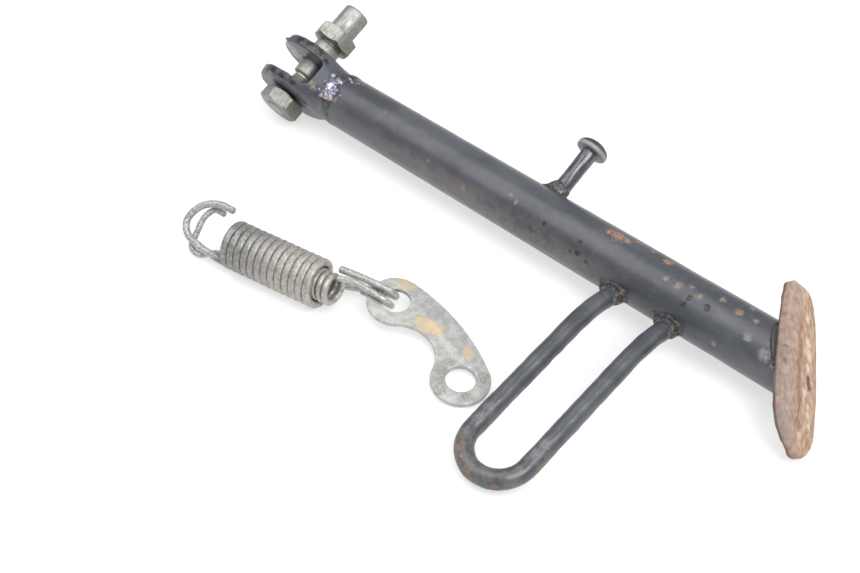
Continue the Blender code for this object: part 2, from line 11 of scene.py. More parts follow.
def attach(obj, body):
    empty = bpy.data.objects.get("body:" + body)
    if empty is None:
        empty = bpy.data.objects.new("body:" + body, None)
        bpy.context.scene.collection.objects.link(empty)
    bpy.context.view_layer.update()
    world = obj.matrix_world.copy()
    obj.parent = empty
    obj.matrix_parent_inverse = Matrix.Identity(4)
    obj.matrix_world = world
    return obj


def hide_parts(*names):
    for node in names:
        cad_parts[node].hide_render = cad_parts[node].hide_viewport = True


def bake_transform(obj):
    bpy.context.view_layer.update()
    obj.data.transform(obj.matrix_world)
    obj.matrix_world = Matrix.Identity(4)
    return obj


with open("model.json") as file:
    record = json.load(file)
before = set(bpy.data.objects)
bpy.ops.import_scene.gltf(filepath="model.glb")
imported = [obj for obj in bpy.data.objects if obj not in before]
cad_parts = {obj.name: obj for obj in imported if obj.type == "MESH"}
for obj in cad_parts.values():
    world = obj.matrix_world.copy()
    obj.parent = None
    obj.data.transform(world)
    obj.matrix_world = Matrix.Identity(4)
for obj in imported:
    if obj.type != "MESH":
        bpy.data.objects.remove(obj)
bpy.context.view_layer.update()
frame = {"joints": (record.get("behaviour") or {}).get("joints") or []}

MM = 0.001
random.seed(7)

# ---------------------------------------------------------------- driving sizes, in mm
TUBE_R, TUBE_WALL, TUBE_START, FOOT_X = 12.7, 2.2, 29.0, 281.0
EAR_R, EAR_UNDER, EAR_NEAR, EAR_FAR, EAR_HALF_GAP = 17.6, 15.2, -12.2, 13.3, 7.3
SLOT_DEPTH, SLOT_CORNER, EAR_STRAIGHT, ROOT_ROUND, ROOT_R = 16.0, 2.6, 4.0, 5.0, 12.5
SHOULDER_R, THREAD_R, BOLT_R = 5.9, 4.7, 6.75
BOLT_NEAR, BOLT_FAR, HEX_LOW, HEX_HIGH = -21.2, 42.3, 20.8, 28.4
HEX_FLAT, HEX_TURN, NUT_TURN, NUT_OUTER, NUT_INNER = 9.5, -15.5, -1.3, -20.6, -13.4
POST_X, POST_R, POST_HEAD_R, POST_NECK, POST_TOP = 149.8, 3.9, 7.4, 36.5, 42.0
ROD_R, LOOP_X, LOOP_HALF, LOOP_END_Y = 4.0, 213.9, 13.5, -94.4
LOOP_ROOT, LOOP_FALL, LOOP_BEND = radians(10.0), radians(14.8), Vector((-26.7, 14.8))
FOOT_THICK = 4.5
FOOT_LEAN, FOOT_TILT = radians(32.0), radians(25.0)
SPRING_TURN, SPRING_HIGH = radians(11.1), 10.9
LINK_SPAN, LINK_LOBE, LINK_HOLE, LINK_CROWN = 46.5, 12.2, 6.2, 15.5
LINK_WAIST, LINK_THICK, LINK_EDGE = 0.4, 2.3, 0.38

# ---------------------------------------------------------------- frames

def turn_to(x, y, z):
    """The rotation whose axes are x, y and z."""
    return Matrix((x, y, z)).transposed().to_4x4()


joints = {j["name"]: j for j in frame["joints"]}
PIVOT = Vector(joints["stand_swing"]["pos_m"])
BOLT_AXIS = Vector(joints["stand_swing"]["axis"]).normalized()
LEG_X = Vector((1, 0, 0))
LEG = turn_to(LEG_X, BOLT_AXIS, LEG_X.cross(BOLT_AXIS))
LEG.translation = PIVOT
PIN = LEG @ Matrix.Rotation(radians(-90), 4, "X")         # Z along the bolt
LINK_A = Vector(joints["link_swing"]["pos_m"])
LINK_N = Vector(joints["link_swing"]["axis"]).normalized()
LINK_ALONG = Vector((0.97055, -0.21090, -0.11728))
SPRING_START = Vector((PIVOT.x + 57.8 * MM, PIVOT.y - 97.3 * MM, SPRING_HIGH * MM))
SPRING = Matrix.Translation(SPRING_START) @ Matrix.Rotation(SPRING_TURN, 4, "Z")


def foot_frame():
    lean = Matrix.Rotation(FOOT_LEAN, 3, "Z")
    along = lean @ Vector((0, -1, 0))
    out = lean @ Vector((1, 0, 0))
    tilt = Matrix.Rotation(FOOT_TILT, 3, along)
    if (tilt @ out).z < 0:
        tilt.transpose()
    out = tilt @ out
    return LEG @ Matrix.Translation((FOOT_X * MM, 0, 0)) @ turn_to(along, out.cross(along), out)


def link_frame():
    """X runs from the sprung hole to the free one, Z is the plate's normal."""
    along = (LINK_ALONG - LINK_N * LINK_ALONG.dot(LINK_N)).normalized()
    return Matrix.Translation(LINK_A) @ turn_to(along, LINK_N.cross(along), LINK_N)


FOOT = foot_frame()
LINK = link_frame()


# ---------------------------------------------------------------- materials

class Look:
    """A Principled material built node by node, its coordinates in mm in a piece's own frame."""

    def __init__(self, name, place):
        self.made = bpy.data.materials.new(name)
        self.made.use_nodes = True
        self.tree = self.made.node_tree
        self.shader = self.tree.nodes["Principled BSDF"]
        source = self.add("TexCoord")
        turned = self.add("Mapping")
        back = place.inverted()
        turned.inputs["Location"].default_value = back.translation / MM
        turned.inputs["Rotation"].default_value = back.to_euler()
        turned.inputs["Scale"].default_value = (1 / MM,) * 3
        self.tree.links.new(source.outputs["Object"], turned.inputs["Vector"])
        self.at = turned.outputs[0]
        self.normal = None
        self.shade = None

    def add(self, kind):
        return self.tree.nodes.new("ShaderNode" + kind)

    def put(self, socket, value):
        if isinstance(value, bpy.types.NodeSocket):
            self.tree.links.new(value, socket)
        elif socket.type == "RGBA":
            socket.default_value = (*value, 1.0)
        else:
            socket.default_value = value

    def math(self, operation, a, b=0.0, clamp=False):
        node = self.add("Math")
        node.operation = operation
        node.use_clamp = clamp
        self.put(node.inputs[0], a)
        self.put(node.inputs[1], b)
        return node.outputs[0]

    def plus(self, a, b):
        return self.math("ADD", a, b)

    def times(self, a, b):
        return self.math("MULTIPLY", a, b)

    def either(self, *values):
        total = values[0]
        for value in values[1:]:
            total = self.math("MAXIMUM", total, value)
        return total

    def step(self, value, low, high, top=1.0):
        node = self.add("MapRange")
        node.interpolation_type = "SMOOTHSTEP"
        self.put(node.inputs["Value"], value)
        node.inputs["From Min"].default_value = low
        node.inputs["From Max"].default_value = high
        node.inputs["To Max"].default_value = top
        return node.outputs[0]

    def span(self, value, low, high):
        node = self.add("MapRange")
        self.put(node.inputs["Value"], value)
        node.inputs["To Min"].default_value = low
        node.inputs["To Max"].default_value = high
        return node.outputs[0]

    def rest(self, value):
        """What the value leaves of 1."""
        return self.math("SUBTRACT", 1.0, value)

    def warp(self, scale, offset=(0, 0, 0)):
        node = self.add("Mapping")
        self.put(node.inputs["Vector"], self.at)
        node.inputs["Scale"].default_value = scale
        node.inputs["Location"].default_value = offset
        return node.outputs[0]

    def noise(self, size, detail=4.0, rough=0.55, stretch=(1, 1, 1), shift=0.0, bend=0.0):
        node = self.add("TexNoise")
        scale = tuple(1 / (size * s) for s in stretch)
        self.put(node.inputs["Vector"], self.warp(scale, (shift, shift * 1.7, shift * 2.3)))
        node.inputs["Scale"].default_value = 1.0
        node.inputs["Detail"].default_value = detail
        node.inputs["Roughness"].default_value = rough
        node.inputs["Distortion"].default_value = bend
        return node.outputs["Fac"]

    def patch(self, low, high, size, *how, top=1.0, **more):
        """Soft-edged patches of noise, 0 under low and top over high."""
        return self.step(self.noise(size, *how, **more), low, high, top)

    def cells(self, size, shift=0.0):
        node = self.add("TexVoronoi")
        self.put(node.inputs["Vector"], self.warp((1 / size,) * 3, (shift, shift, shift)))
        node.inputs["Scale"].default_value = 1.0
        return node.outputs["Distance"]

    def axis(self, which):
        node = self.add("SeparateXYZ")
        self.put(node.inputs[0], self.at)
        return node.outputs[which]

    def colour(self, fac, a, b):
        node = self.add("Mix")
        node.data_type = "RGBA"
        self.put(node.inputs[0], fac)
        self.put(node.inputs[6], a)
        self.put(node.inputs[7], b)
        return node.outputs[2]

    def lay(self, fac, over, share=None):
        """Lays a colour over the look's running one, at most by the share."""
        fac = fac if share is None else self.times(fac, share)
        self.shade = self.colour(fac, self.shade, over)

    def spots(self, places, ragged=0.8, grain=1.6, soft=0.45, shift=0.0):
        """1 inside marks given as (x, y, z, radius), their edges broken up by noise."""
        fuzz = self.span(self.noise(grain, 5, 0.65, shift=shift), -ragged, ragged)
        total = None
        for x, y, z, r in places:
            far = self.add("VectorMath")
            far.operation = "DISTANCE"
            self.put(far.inputs[0], self.at)
            far.inputs[1].default_value = (x, y, z)
            reach = self.plus(self.times(far.outputs["Value"], 1 / r), fuzz)
            one = self.step(reach, 1.0, 1.0 - soft)
            total = one if total is None else self.either(total, one)
        return total

    def bump(self, height, depth_mm, strength=1.0):
        node = self.add("Bump")
        node.inputs["Distance"].default_value = depth_mm * MM
        node.inputs["Strength"].default_value = strength
        self.put(node.inputs["Height"], height)
        if self.normal is not None:
            self.put(node.inputs["Normal"], self.normal)
        self.normal = node.outputs[0]

    def finish(self, rough, metal, **constants):
        self.put(self.shader.inputs["Base Color"], self.shade)
        self.put(self.shader.inputs["Roughness"], rough)
        self.put(self.shader.inputs["Metallic"], metal)
        for name, value in constants.items():
            self.shader.inputs[name.replace("_", " ")].default_value = value
        if self.normal is not None:
            self.put(self.shader.inputs["Normal"], self.normal)
        return self.made


RUST_DARK, RUST, RUST_PALE = (0.11, 0.060, 0.042), (0.25, 0.130, 0.082), (0.38, 0.24, 0.16)
TAN_DARK, TAN = (0.25, 0.18, 0.12), (0.40, 0.33, 0.24)
# The second colour below is a dull olive dark, painted on as shade on the side of the bolt and nut
# turned away from the light.
WELD_GLINT, SIDE_SHADE_OLIVE = (0.10, 0.10, 0.108), (0.115, 0.118, 0.085)


def rust_colour(look, shift=0.0):
    patch = look.patch(0.38, 0.62, 2.2, 5, 0.6, shift=shift)
    dark = look.patch(0.52, 0.70, 0.8, 4, 0.6, shift=shift + 3)
    return look.colour(dark, look.colour(patch, RUST, RUST_PALE), RUST_DARK)


def painted(name, marks=(), tans=(), chips=(), pale=(), gloss_and_reflection=(), dust=None, rust=0.9):
    """Old black paint gone slate grey: dusty, scratched, chipped, rusted where it has gone.

    pale is a list of (spots, low colour, high colour) for patches rubbed to bare metal;
    the fork's inner patch has its colours raised as painted light, since it lies in shade.
    """
    look = Look(name, LEG)
    cloud = look.patch(0.35, 0.7, 16, 4, 0.6, stretch=(2.5, 1, 1))
    look.shade = look.colour(cloud, (0.048, 0.052, 0.063), (0.084, 0.089, 0.103))
    haze = look.patch(0.50, 0.72, 5, 6, 0.7, shift=4, top=0.45)
    look.lay(haze, (0.108, 0.108, 0.114))
    speck = look.patch(0.66, 0.74, 0.55, 3, 0.7, shift=9)
    veil = look.patch(0.45, 0.65, 9, 4, 0.6, shift=2)
    grit = look.times(speck, veil)
    if dust is not None:
        band = dust(look)
        look.lay(band, (0.150, 0.128, 0.112), 0.6)
        grain = look.patch(0.54, 0.66, 0.9, 4, 0.7, shift=6)
        grit = look.either(grit, look.times(grain, band))
    look.lay(grit, (0.23, 0.19, 0.155), 0.5)
    line_a = look.patch(0.68, 0.73, 1.3, 2, 0.5, stretch=(14, 0.22, 0.22), shift=1)
    line_b = look.patch(0.72, 0.76, 1.1, 2, 0.5, stretch=(0.2, 6, 6), shift=5)
    zone = look.patch(0.48, 0.62, 14, 3, shift=8)
    scratch = look.times(look.either(line_a, line_b), zone)
    look.lay(scratch, (0.29, 0.29, 0.30), 0.5)
    bare = look.step(look.cells(7.0, 2.0), 0.13, 0.06)
    bare = look.times(bare, look.patch(0.55, 0.66, 22, 3, shift=12))
    look.lay(bare, rust_colour(look, 20.0), 0.45)
    rough = look.span(look.noise(7, 5, 0.6, shift=15), 0.24, 0.42)
    rough = look.plus(rough, look.times(grit, 0.25))
    # rubbed bare patches; on the fork's inner face the bright tones are also painted light in shade
    for places, low, high in pale:
        worn = look.spots(places, 0.75, 1.9, 0.7, shift=11)
        grain = look.patch(0.35, 0.65, 0.9, 5, 0.65, shift=30)
        look.lay(worn, look.colour(grain, low, high))
        rough = look.plus(rough, look.times(worn, 0.15))
    # near-black glossier spots: fresh paint on the fork, a painted reflection of the post on the
    # tube
    if gloss_and_reflection:
        fresh_gloss_and_reflection = look.spots(gloss_and_reflection, 0.9, 1.2, 0.7, shift=27)
        look.lay(fresh_gloss_and_reflection, (0.013, 0.012, 0.016), 0.9)
        rough = look.plus(rough, look.times(fresh_gloss_and_reflection, -0.12))
    if chips:
        deep = look.spots(chips, 1.3, 0.9, 0.6, shift=21)
        look.lay(deep, (0.016, 0.013, 0.012), 0.85)
        look.bump(look.rest(deep), 0.18)
    if tans:
        bald = look.spots(tans, 1.6, 1.3, 1.0, shift=17)
        look.lay(bald, look.colour(look.noise(1.2, 4), TAN_DARK, TAN), 0.68)
        rough = look.plus(rough, look.times(bald, 0.3))
    if marks:
        gone = look.spots(marks, 1.3, 1.5, 0.7, shift=13)
        look.lay(look.times(gone, rust), rust_colour(look))
        rough = look.plus(rough, look.times(gone, 0.45))
        look.bump(look.times(gone, look.noise(0.5, 5, 0.7)), 0.16)
    look.bump(look.noise(1.1, 3, 0.5, shift=3), 0.035)
    look.bump(look.noise(0.35, 4, 0.6, shift=31), 0.010)
    look.bump(look.rest(look.either(scratch, bare)), 0.03)
    return look.finish(rough, 0.0, Specular_IOR_Level=0.6)


def tube_dust(look):
    """Brown dust along the tube's lower flank, heaviest in the middle of the leg."""
    x, y, z = look.axis(0), look.axis(1), look.axis(2)
    flank = look.times(look.step(y, -3.0, -9.0), look.step(z, 13.0, 9.0))
    reach = look.times(look.step(x, 50, 95), look.step(x, 215, 165))
    ragged = look.patch(0.36, 0.60, 6, 5, 0.7, shift=40)
    return look.times(look.times(flank, reach), ragged)


def rod_dust(look):
    """Brown dust on the far end of the foot loop."""
    ragged = look.patch(0.42, 0.6, 5, 5, 0.7, shift=41)
    return look.times(look.step(look.axis(1), -72, -92), ragged)


TUBE_RUST = [(189.3, 6.6, 10.8, 3.8), (185.0, 6.9, 10.6, 2.3), (193.5, 7.0, 10.6, 2.6),
    (213.3, 8.3, 9.6, 2.6), (196.5, 9.5, 8.4, 1.9), (249.4, 4.2, 12.0, 1.7),
    (270.0, 9.0, 8.9, 1.4)]
TUBE_TAN = [(217.8, 0.6, 12.7, 1.7), (223.6, 0.6, 12.7, 2.3), (233.5, 1.3, 12.6, 2.0),
    (241.0, 5.7, 11.3, 2.0), (249.8, 4.0, 12.0, 2.0), (252.1, 9.0, 8.9, 1.6),
    (257.1, 4.7, 11.8, 1.7), (139.4, -2.3, 12.5, 1.8), (143.0, -3.4, 12.2, 1.4),
    (167.4, -12.6, 1.2, 2.6), (94.1, -7.3, 10.4, 1.2), (116.1, -9.2, 8.8, 1.4),
    (32.5, -5.5, 11.4, 1.8), (36.0, 7.0, 10.4, 1.4), (205.0, 9.0, 8.9, 1.2),
    (228.5, 3.5, 12.2, 1.3)]
TUBE_CHIPS = [(230.2, -1.4, 12.6, 1.3), (229.5, -4.6, 11.8, 1.5), (238.4, -1.2, 12.6, 1.5),
    (159.6, -5.3, 11.5, 1.4), (178.0, -4.2, 12.0, 1.1), (178.9, -8.2, 9.7, 1.8),
    (175.5, -9.0, 9.0, 1.0), (184.0, -9.3, 8.6, 1.1)]
TUBE_PALE = [(267.0, -5.7, 11.5, 3.6), (272.5, -6.5, 10.9, 2.6), (247.5, -10.5, 7.1, 1.6),
    (258.0, -3.0, 12.3, 2.4)]
# painted reflection: a chain of near-black spots beside the post, standing for the post's dark
# reflection in the tube
TUBE_POST_REFLECTION = [(158.0, 11.2, 5.8, 1.7), (162.0, 10.9, 6.4, 1.8), (166.0, 10.4, 7.2, 1.7),
    (170.0, 9.9, 8.0, 1.3)]
tube_look = painted("paint_tube", TUBE_RUST, TUBE_TAN, TUBE_CHIPS,
                    [(TUBE_PALE, (0.13, 0.13, 0.13), (0.24, 0.235, 0.225))], TUBE_POST_REFLECTION, tube_dust)

# worn bare patches inside the far ear, their tones raised far above the metal's own as painted
# light in the shaded slot
FORK_INNER_WEAR_AND_LIGHT = [(-12.9, 7.3, 8.0, 4.2), (-10.5, 7.3, 5.0, 4.8), (-7.4, 7.3, 4.2, 3.4),
    (-8.5, 7.3, 9.0, 3.2), (-12.5, 7.3, 1.5, 4.4), (-13.0, 7.3, 11.0, 2.4)]
FORK_RIM = [(-15.5, -11.0, 5.0, 3.4), (-17.2, -9.5, 0.0, 4.0), (-14.5, -12.1, 0.0, 2.6),
    (-4.4, -11.1, 15.7, 1.6), (10.5, -7.3, 15.5, 1.6), (-16.5, -9.0, -5.0, 3.2)]
FORK_TAN = [(17.5, -4.5, 14.0, 1.8), (19.3, -5.6, 12.9, 2.2), (24.5, -10.5, 5.0, 1.8),
    (14.0, -12.4, 2.0, 2.4), (20.0, -12.0, -2.0, 2.8)]
FORK_GLOSS = [(-8.0, 10.3, 15.6, 2.6), (-2.0, 10.3, 17.6, 3.2), (4.5, 10.0, 17.2, 3.2),
    (10.5, 9.5, 15.8, 3.0), (16.0, 8.0, 14.5, 2.6), (-3.0, -9.8, 17.4, 2.6),
    (4.0, -9.8, 17.2, 3.2), (10.5, -9.0, 15.8, 2.6), (-8.0, -9.8, 15.6, 2.2)]
FORK_PALE = [(FORK_INNER_WEAR_AND_LIGHT, (0.38, 0.35, 0.34), (0.80, 0.75, 0.73)),
    (FORK_RIM, (0.13, 0.12, 0.12), (0.28, 0.25, 0.245))]
fork_look = painted("paint_fork", [(22.0, -11.5, -4.0, 2.2)], FORK_TAN,
                    [(8.0, -9.0, 16.0, 1.6), (12.0, 10.0, 14.0, 1.3)], FORK_PALE, FORK_GLOSS)

LOOP_RUST = [(201.0, -99.1, 37.0, 2.6), (203.5, -104.0, 38.6, 2.8), (211.0, -110.5, 39.2, 3.0),
    (224.0, -108.5, 37.0, 2.6), (200.5, -17.5, 10.5, 2.2), (227.5, -17.0, 9.5, 2.2)]
LOOP_TAN = [(203.5, -16.5, 8.0, 1.6), (230.5, -16.5, 8.0, 1.6), (206.5, -106.5, 40.0, 1.8),
    (228.0, -98.0, 37.5, 1.3)]
LOOP_PALE = [(201.5, -84.0, 35.5, 3.6), (201.2, -89.0, 36.8, 3.6), (227.4, -84.0, 34.0, 3.2),
    (226.8, -89.0, 35.2, 3.4)]
loop_look = painted("paint_loop", LOOP_RUST, LOOP_TAN,
                    [(200.4, -60.0, 30.5, 1.4), (227.4, -66.0, 31.5, 1.8)],
                    [(LOOP_PALE, (0.095, 0.102, 0.125), (0.180, 0.190, 0.230))], (), rod_dust, 0.5)


def post_paint():
    """Rubbed steel with lengthwise streaks on the shank, a smooth grey head."""
    look = Look("post_steel", LEG)
    y = look.axis(1)
    head = look.step(y, POST_NECK - 0.4, POST_NECK + 0.2)
    rim = look.times(head, look.step(y, POST_NECK + 2.6, POST_NECK + 1.2))
    rub = look.patch(0.36, 0.60, 1.1, 4, 0.6, stretch=(0.8, 7, 0.8))
    shank = look.colour(rub, (0.032, 0.032, 0.036), (0.145, 0.145, 0.160))
    dome = look.colour(look.patch(0.36, 0.66, 2.6, 5, 0.6, shift=5),
                       (0.028, 0.028, 0.030), (0.050, 0.049, 0.051))
    dome = look.colour(look.times(rim, 0.75), dome, (0.36, 0.35, 0.35))
    root = look.times(look.step(y, 18, 14), look.patch(0.46, 0.64, 1.5, 4, shift=9))
    look.shade = look.colour(look.times(root, 0.7), shank, rust_colour(look, 7.0))
    look.lay(head, dome)
    rough = look.plus(look.span(look.noise(1.2, 4, shift=3), 0.24, 0.42), look.times(head, 0.10))
    bright = look.times(look.span(rub, 0.25, 0.8), look.rest(head))
    look.bump(look.noise(0.6, 5, 0.65), 0.04)
    return look.finish(rough, look.times(look.rest(root), bright))


def weld_look(name, rust_share, glint=(0.085, 0.083, 0.088)):
    """Painted-over weld bead whose paint has cracked to rust."""
    look = Look(name, LEG)
    part = look.step(look.noise(2.8, 5, 0.65, shift=3), 1 - rust_share, 1.13 - rust_share)
    look.shade = look.colour(look.patch(0.4, 0.65, 1.1, 4), (0.026, 0.025, 0.027), glint)
    look.lay(part, rust_colour(look, 5.0), 0.85)
    rough = look.span(part, 0.34, 0.85)
    look.bump(look.noise(0.7, 6, 0.7), 0.14)
    return look.finish(rough, 0.15)


def spatter_metal():
    """Bare lavender-grey weld drops with dark gaps and tan scale at one side, and a painted
    bluish-white highlight on the crown of the heap.
    """
    look = Look("weld_spatter", LEG)
    grain = look.noise(2.0, 5, 0.55)
    look.shade = look.colour(look.step(grain, 0.34, 0.62),
                             (0.145, 0.142, 0.185), (0.35, 0.35, 0.43))
    dark = look.patch(0.54, 0.66, 1.2, 4, 0.6, shift=14, top=0.8)
    look.lay(dark, (0.06, 0.055, 0.07))
    scale = look.spots([(26.0, -6.4, 11.9, 1.6), (29.0, -6.8, 11.6, 1.8), (31.5, -6.4, 11.8, 1.4)],
                       0.9, 1.4)
    look.lay(scale, (0.46, 0.38, 0.30))
    # painted highlight: a bluish-white spot on top of the heap
    crown_highlight = look.times(look.spots([(27.0, -1.5, 13.6, 2.2)], 0.8, 1.2), 0.75)
    look.lay(crown_highlight, (0.74, 0.78, 0.90))
    rough = look.plus(look.span(look.noise(1.3, 4, shift=4), 0.24, 0.40), look.times(scale, 0.35))
    look.bump(look.noise(0.9, 4, 0.55), 0.06)
    return look.finish(rough, look.span(scale, 0.75, 0.1))


def paint_side_shade(look):
    """Paints shade, a dull olive dark, on the side of the bolt and nut that is turned down and
    away.
    """
    side = look.plus(look.times(look.axis(0), 0.9), look.times(look.axis(1), 0.4))
    look.lay(look.step(side, 2.5, 7.0, 0.55), SIDE_SHADE_OLIVE)


def nut_metal():
    """Dulled zinc plating with faint streaks along the part, dark dirt and a brown tinge, and
    painted shade on the side turned down and away.
    """
    look = Look("nut_zinc_worn", PIN)
    streak = look.patch(0.34, 0.66, 1.0, 4, 0.6, stretch=(0.7, 0.7, 6), shift=2)
    look.shade = look.colour(streak, (0.222, 0.226, 0.207), (0.340, 0.344, 0.318))
    blotch = look.patch(0.50, 0.68, 2.6, 5, 0.65, shift=7, top=0.6)
    look.lay(blotch, (0.174, 0.170, 0.141))
    brown = look.patch(0.58, 0.72, 1.8, 4, 0.6, shift=12, top=0.4)
    look.lay(brown, (0.229, 0.181, 0.148))
    # painted shade on the nut's side turned down and away
    paint_side_shade(look)
    pit = look.patch(0.66, 0.74, 0.45, 3, 0.6, shift=19)
    look.lay(pit, (0.10, 0.10, 0.085), 0.8)
    rough = look.plus(look.span(look.noise(1.3, 4, shift=16), 0.36, 0.54), look.times(blotch, 0.15))
    look.bump(look.noise(0.8, 5, 0.6, shift=3), 0.05)
    look.bump(look.rest(pit), 0.04)
    return look.finish(rough, look.span(blotch, 0.8, 0.5))


def bolt_metal():
    """Zinc like the nut's, evened to a mid grey where the shank sits inside the fork, with painted
    shade on the side turned down and away.
    """
    look = Look("bolt_zinc_worn", PIN)
    z = look.axis(2)
    streak = look.patch(0.34, 0.64, 1.1, 4, 0.6, stretch=(0.8, 0.8, 7), shift=2)
    look.shade = look.colour(streak, (0.296, 0.292, 0.274), (0.444, 0.437, 0.422))
    olive = look.patch(0.46, 0.66, 3.0, 5, 0.6, shift=9, top=0.65)
    look.lay(olive, (0.211, 0.207, 0.163))
    pink = look.patch(0.60, 0.72, 1.5, 4, 0.6, shift=14, top=0.4)
    look.lay(pink, (0.296, 0.244, 0.237))
    face = look.times(look.step(z, BOLT_FAR - 0.6, BOLT_FAR - 0.2), 0.7)
    look.lay(face, (0.488, 0.459, 0.400))
    inside = look.times(look.step(z, 13.4, 12.6), look.step(z, -22, -15))
    look.lay(inside, (0.40, 0.405, 0.375), 0.5)
    # painted shade on the bolt's side turned down and away
    paint_side_shade(look)
    # painted shade: the relief groove under the hexagon is darkened where shade falls
    groove_shade = look.times(look.step(z, 18.9, 19.5), look.step(z, 20.9, 20.5))
    look.lay(groove_shade, (0.09, 0.09, 0.08), 0.5)
    rough = look.plus(look.span(look.noise(1.1, 4, shift=6), 0.38, 0.56), look.times(olive, 0.10))
    look.bump(look.noise(0.9, 5, 0.6, stretch=(1, 1, 3), shift=3), 0.06)
    return look.finish(rough, look.span(olive, 0.8, 0.5))


def spring_metal(name, bright):
    """Tarnished wire: grey at the left of the coil, browner to the right, pitted hooks."""
    look = Look(name, SPRING)
    s = look.axis(0)
    warm = look.step(s, 6, 40)
    grey = look.colour(look.patch(0.36, 0.62, 1.4, 5, 0.65),
                       (0.200, 0.199, 0.190), (0.365, 0.362, 0.350))
    brown = look.colour(look.patch(0.36, 0.62, 1.6, 5, 0.65, shift=8),
                        (0.33, 0.30, 0.27), (0.58, 0.545, 0.50))
    look.shade = look.colour(look.times(warm, 0.8), grey, brown)
    hook = look.either(look.step(s, -1, -6), look.step(s, 52, 58))
    pitted = look.colour(look.patch(0.38, 0.60, 1.1, 5, 0.7, shift=4),
                         (0.30, 0.305, 0.295), (0.64, 0.64, 0.62))
    look.lay(hook, pitted, 0.75)
    pit = look.patch(0.58, 0.68, 0.65, 4, 0.7, shift=11)
    pit = look.times(pit, look.span(hook, 0.5, 0.9))
    look.lay(pit, (0.085, 0.082, 0.073))
    moss = look.patch(0.60, 0.72, 2.4, 4, 0.6, shift=15, top=0.45)
    look.lay(moss, (0.33, 0.31, 0.22))
    zone = look.patch(0.50, 0.64, 2.2, 4, 0.6, shift=23)
    shine = look.times(look.times(zone, look.step(s, 28, 12)), look.step(s, -4, 2))
    rough = look.plus(look.span(look.noise(1.2, 4, shift=2), 0.40, 0.62), look.times(shine, -0.18))
    look.bump(look.noise(0.5, 5, 0.7, shift=6), 0.07)
    look.bump(look.rest(pit), 0.10)
    return look.finish(rough, look.span(shine, bright, 0.75))


LINK_STAINS = [(-6.0, 7.5, 1, 3.6), (-2.5, 9.0, 1, 3.0), (18.0, 3.7, 1, 5.6), (14.0, 2.6, 1, 3.8),
    (22.0, 6.0, 1, 4.2), (37.4, 10.1, 1, 3.6), (39.5, 9.0, 1, 2.4)]
LINK_WEAR = [(39.0, -4.0, 1, 5.5), (43.0, -8.5, 1, 5.0), (37.5, 1.0, 1, 4.0), (47.0, -10.0, 1, 3.5),
    (46.5, 0.0, 1, 8.5), (51.5, 7.0, 1, 4.5), (54.5, -3.0, 1, 3.5)]


def link_metal():
    """Flat zinc plate with tan stains and grey-green wear round the free hole."""
    look = Look("link_zinc_stained", LINK)
    look.shade = look.colour(look.patch(0.36, 0.64, 3.0, 5, 0.6),
                       (0.386, 0.391, 0.377), (0.534, 0.534, 0.515))
    cloud = look.patch(0.52, 0.66, 1.2, 5, 0.7, shift=3, top=0.5)
    look.lay(cloud, (0.32, 0.325, 0.305))
    stain = look.spots(LINK_STAINS, 0.75, 1.8, 0.8)
    look.lay(stain, (0.66, 0.51, 0.30), 0.85)
    ring = look.spots(LINK_WEAR, 0.85, 2.2, 0.7, shift=7)
    mottle = look.colour(look.patch(0.38, 0.62, 0.9, 5, 0.7, shift=9),
                         (0.19, 0.20, 0.165), (0.41, 0.42, 0.37))
    look.lay(ring, mottle, 0.8)
    fine = look.patch(0.66, 0.72, 0.8, 2, 0.5, stretch=(9, 0.25, 1), shift=13, top=0.4)
    look.lay(fine, (0.62, 0.62, 0.61))
    rough = look.span(look.noise(2.0, 5, 0.6, shift=5), 0.42, 0.62)
    look.bump(look.noise(1.1, 5, 0.6, shift=2), 0.05)
    look.bump(look.noise(0.35, 3, 0.6, shift=12), 0.02)
    return look.finish(rough, 0.5)


FOOT_CREAM = [(-9.0, 3.2, 0, 4.0), (-13.5, 2.6, 0, 3.4), (-3.5, 2.2, 0, 2.6), (7.6, 0.2, 0, 2.6),
    (15.5, 3.4, 0, 2.6), (12.0, 2.6, 0, 2.0), (19.5, 4.0, 0, 2.2), (25.0, -2.8, 0, 2.4),
    (-24.0, 2.5, 0, 2.4), (2.0, 5.6, 0, 2.0)]
FOOT_BRIGHT = [(-27.7, 0.5, 0, 1.8), (-20.0, -14.0, 0, 2.2), (-12.0, -13.0, 0, 2.0),
    (-16.0, -4.0, 0, 1.4)]
FOOT_STEEL = [(26.5, -11.0, -1.5, 4.6), (21.0, -14.0, -3.0, 4.0), (8.0, -15.0, -3.5, 4.5)]
FOOT_DARK = [(-6.3, -14.0, -1.2, 1.5), (-0.4, -14.4, -1.2, 2.0)]
FOOT_SLOT = [(1.2, 2.4, -0.5, 2.1), (2.6, 3.0, -0.5, 2.3), (4.0, 3.7, -0.5, 2.1)]


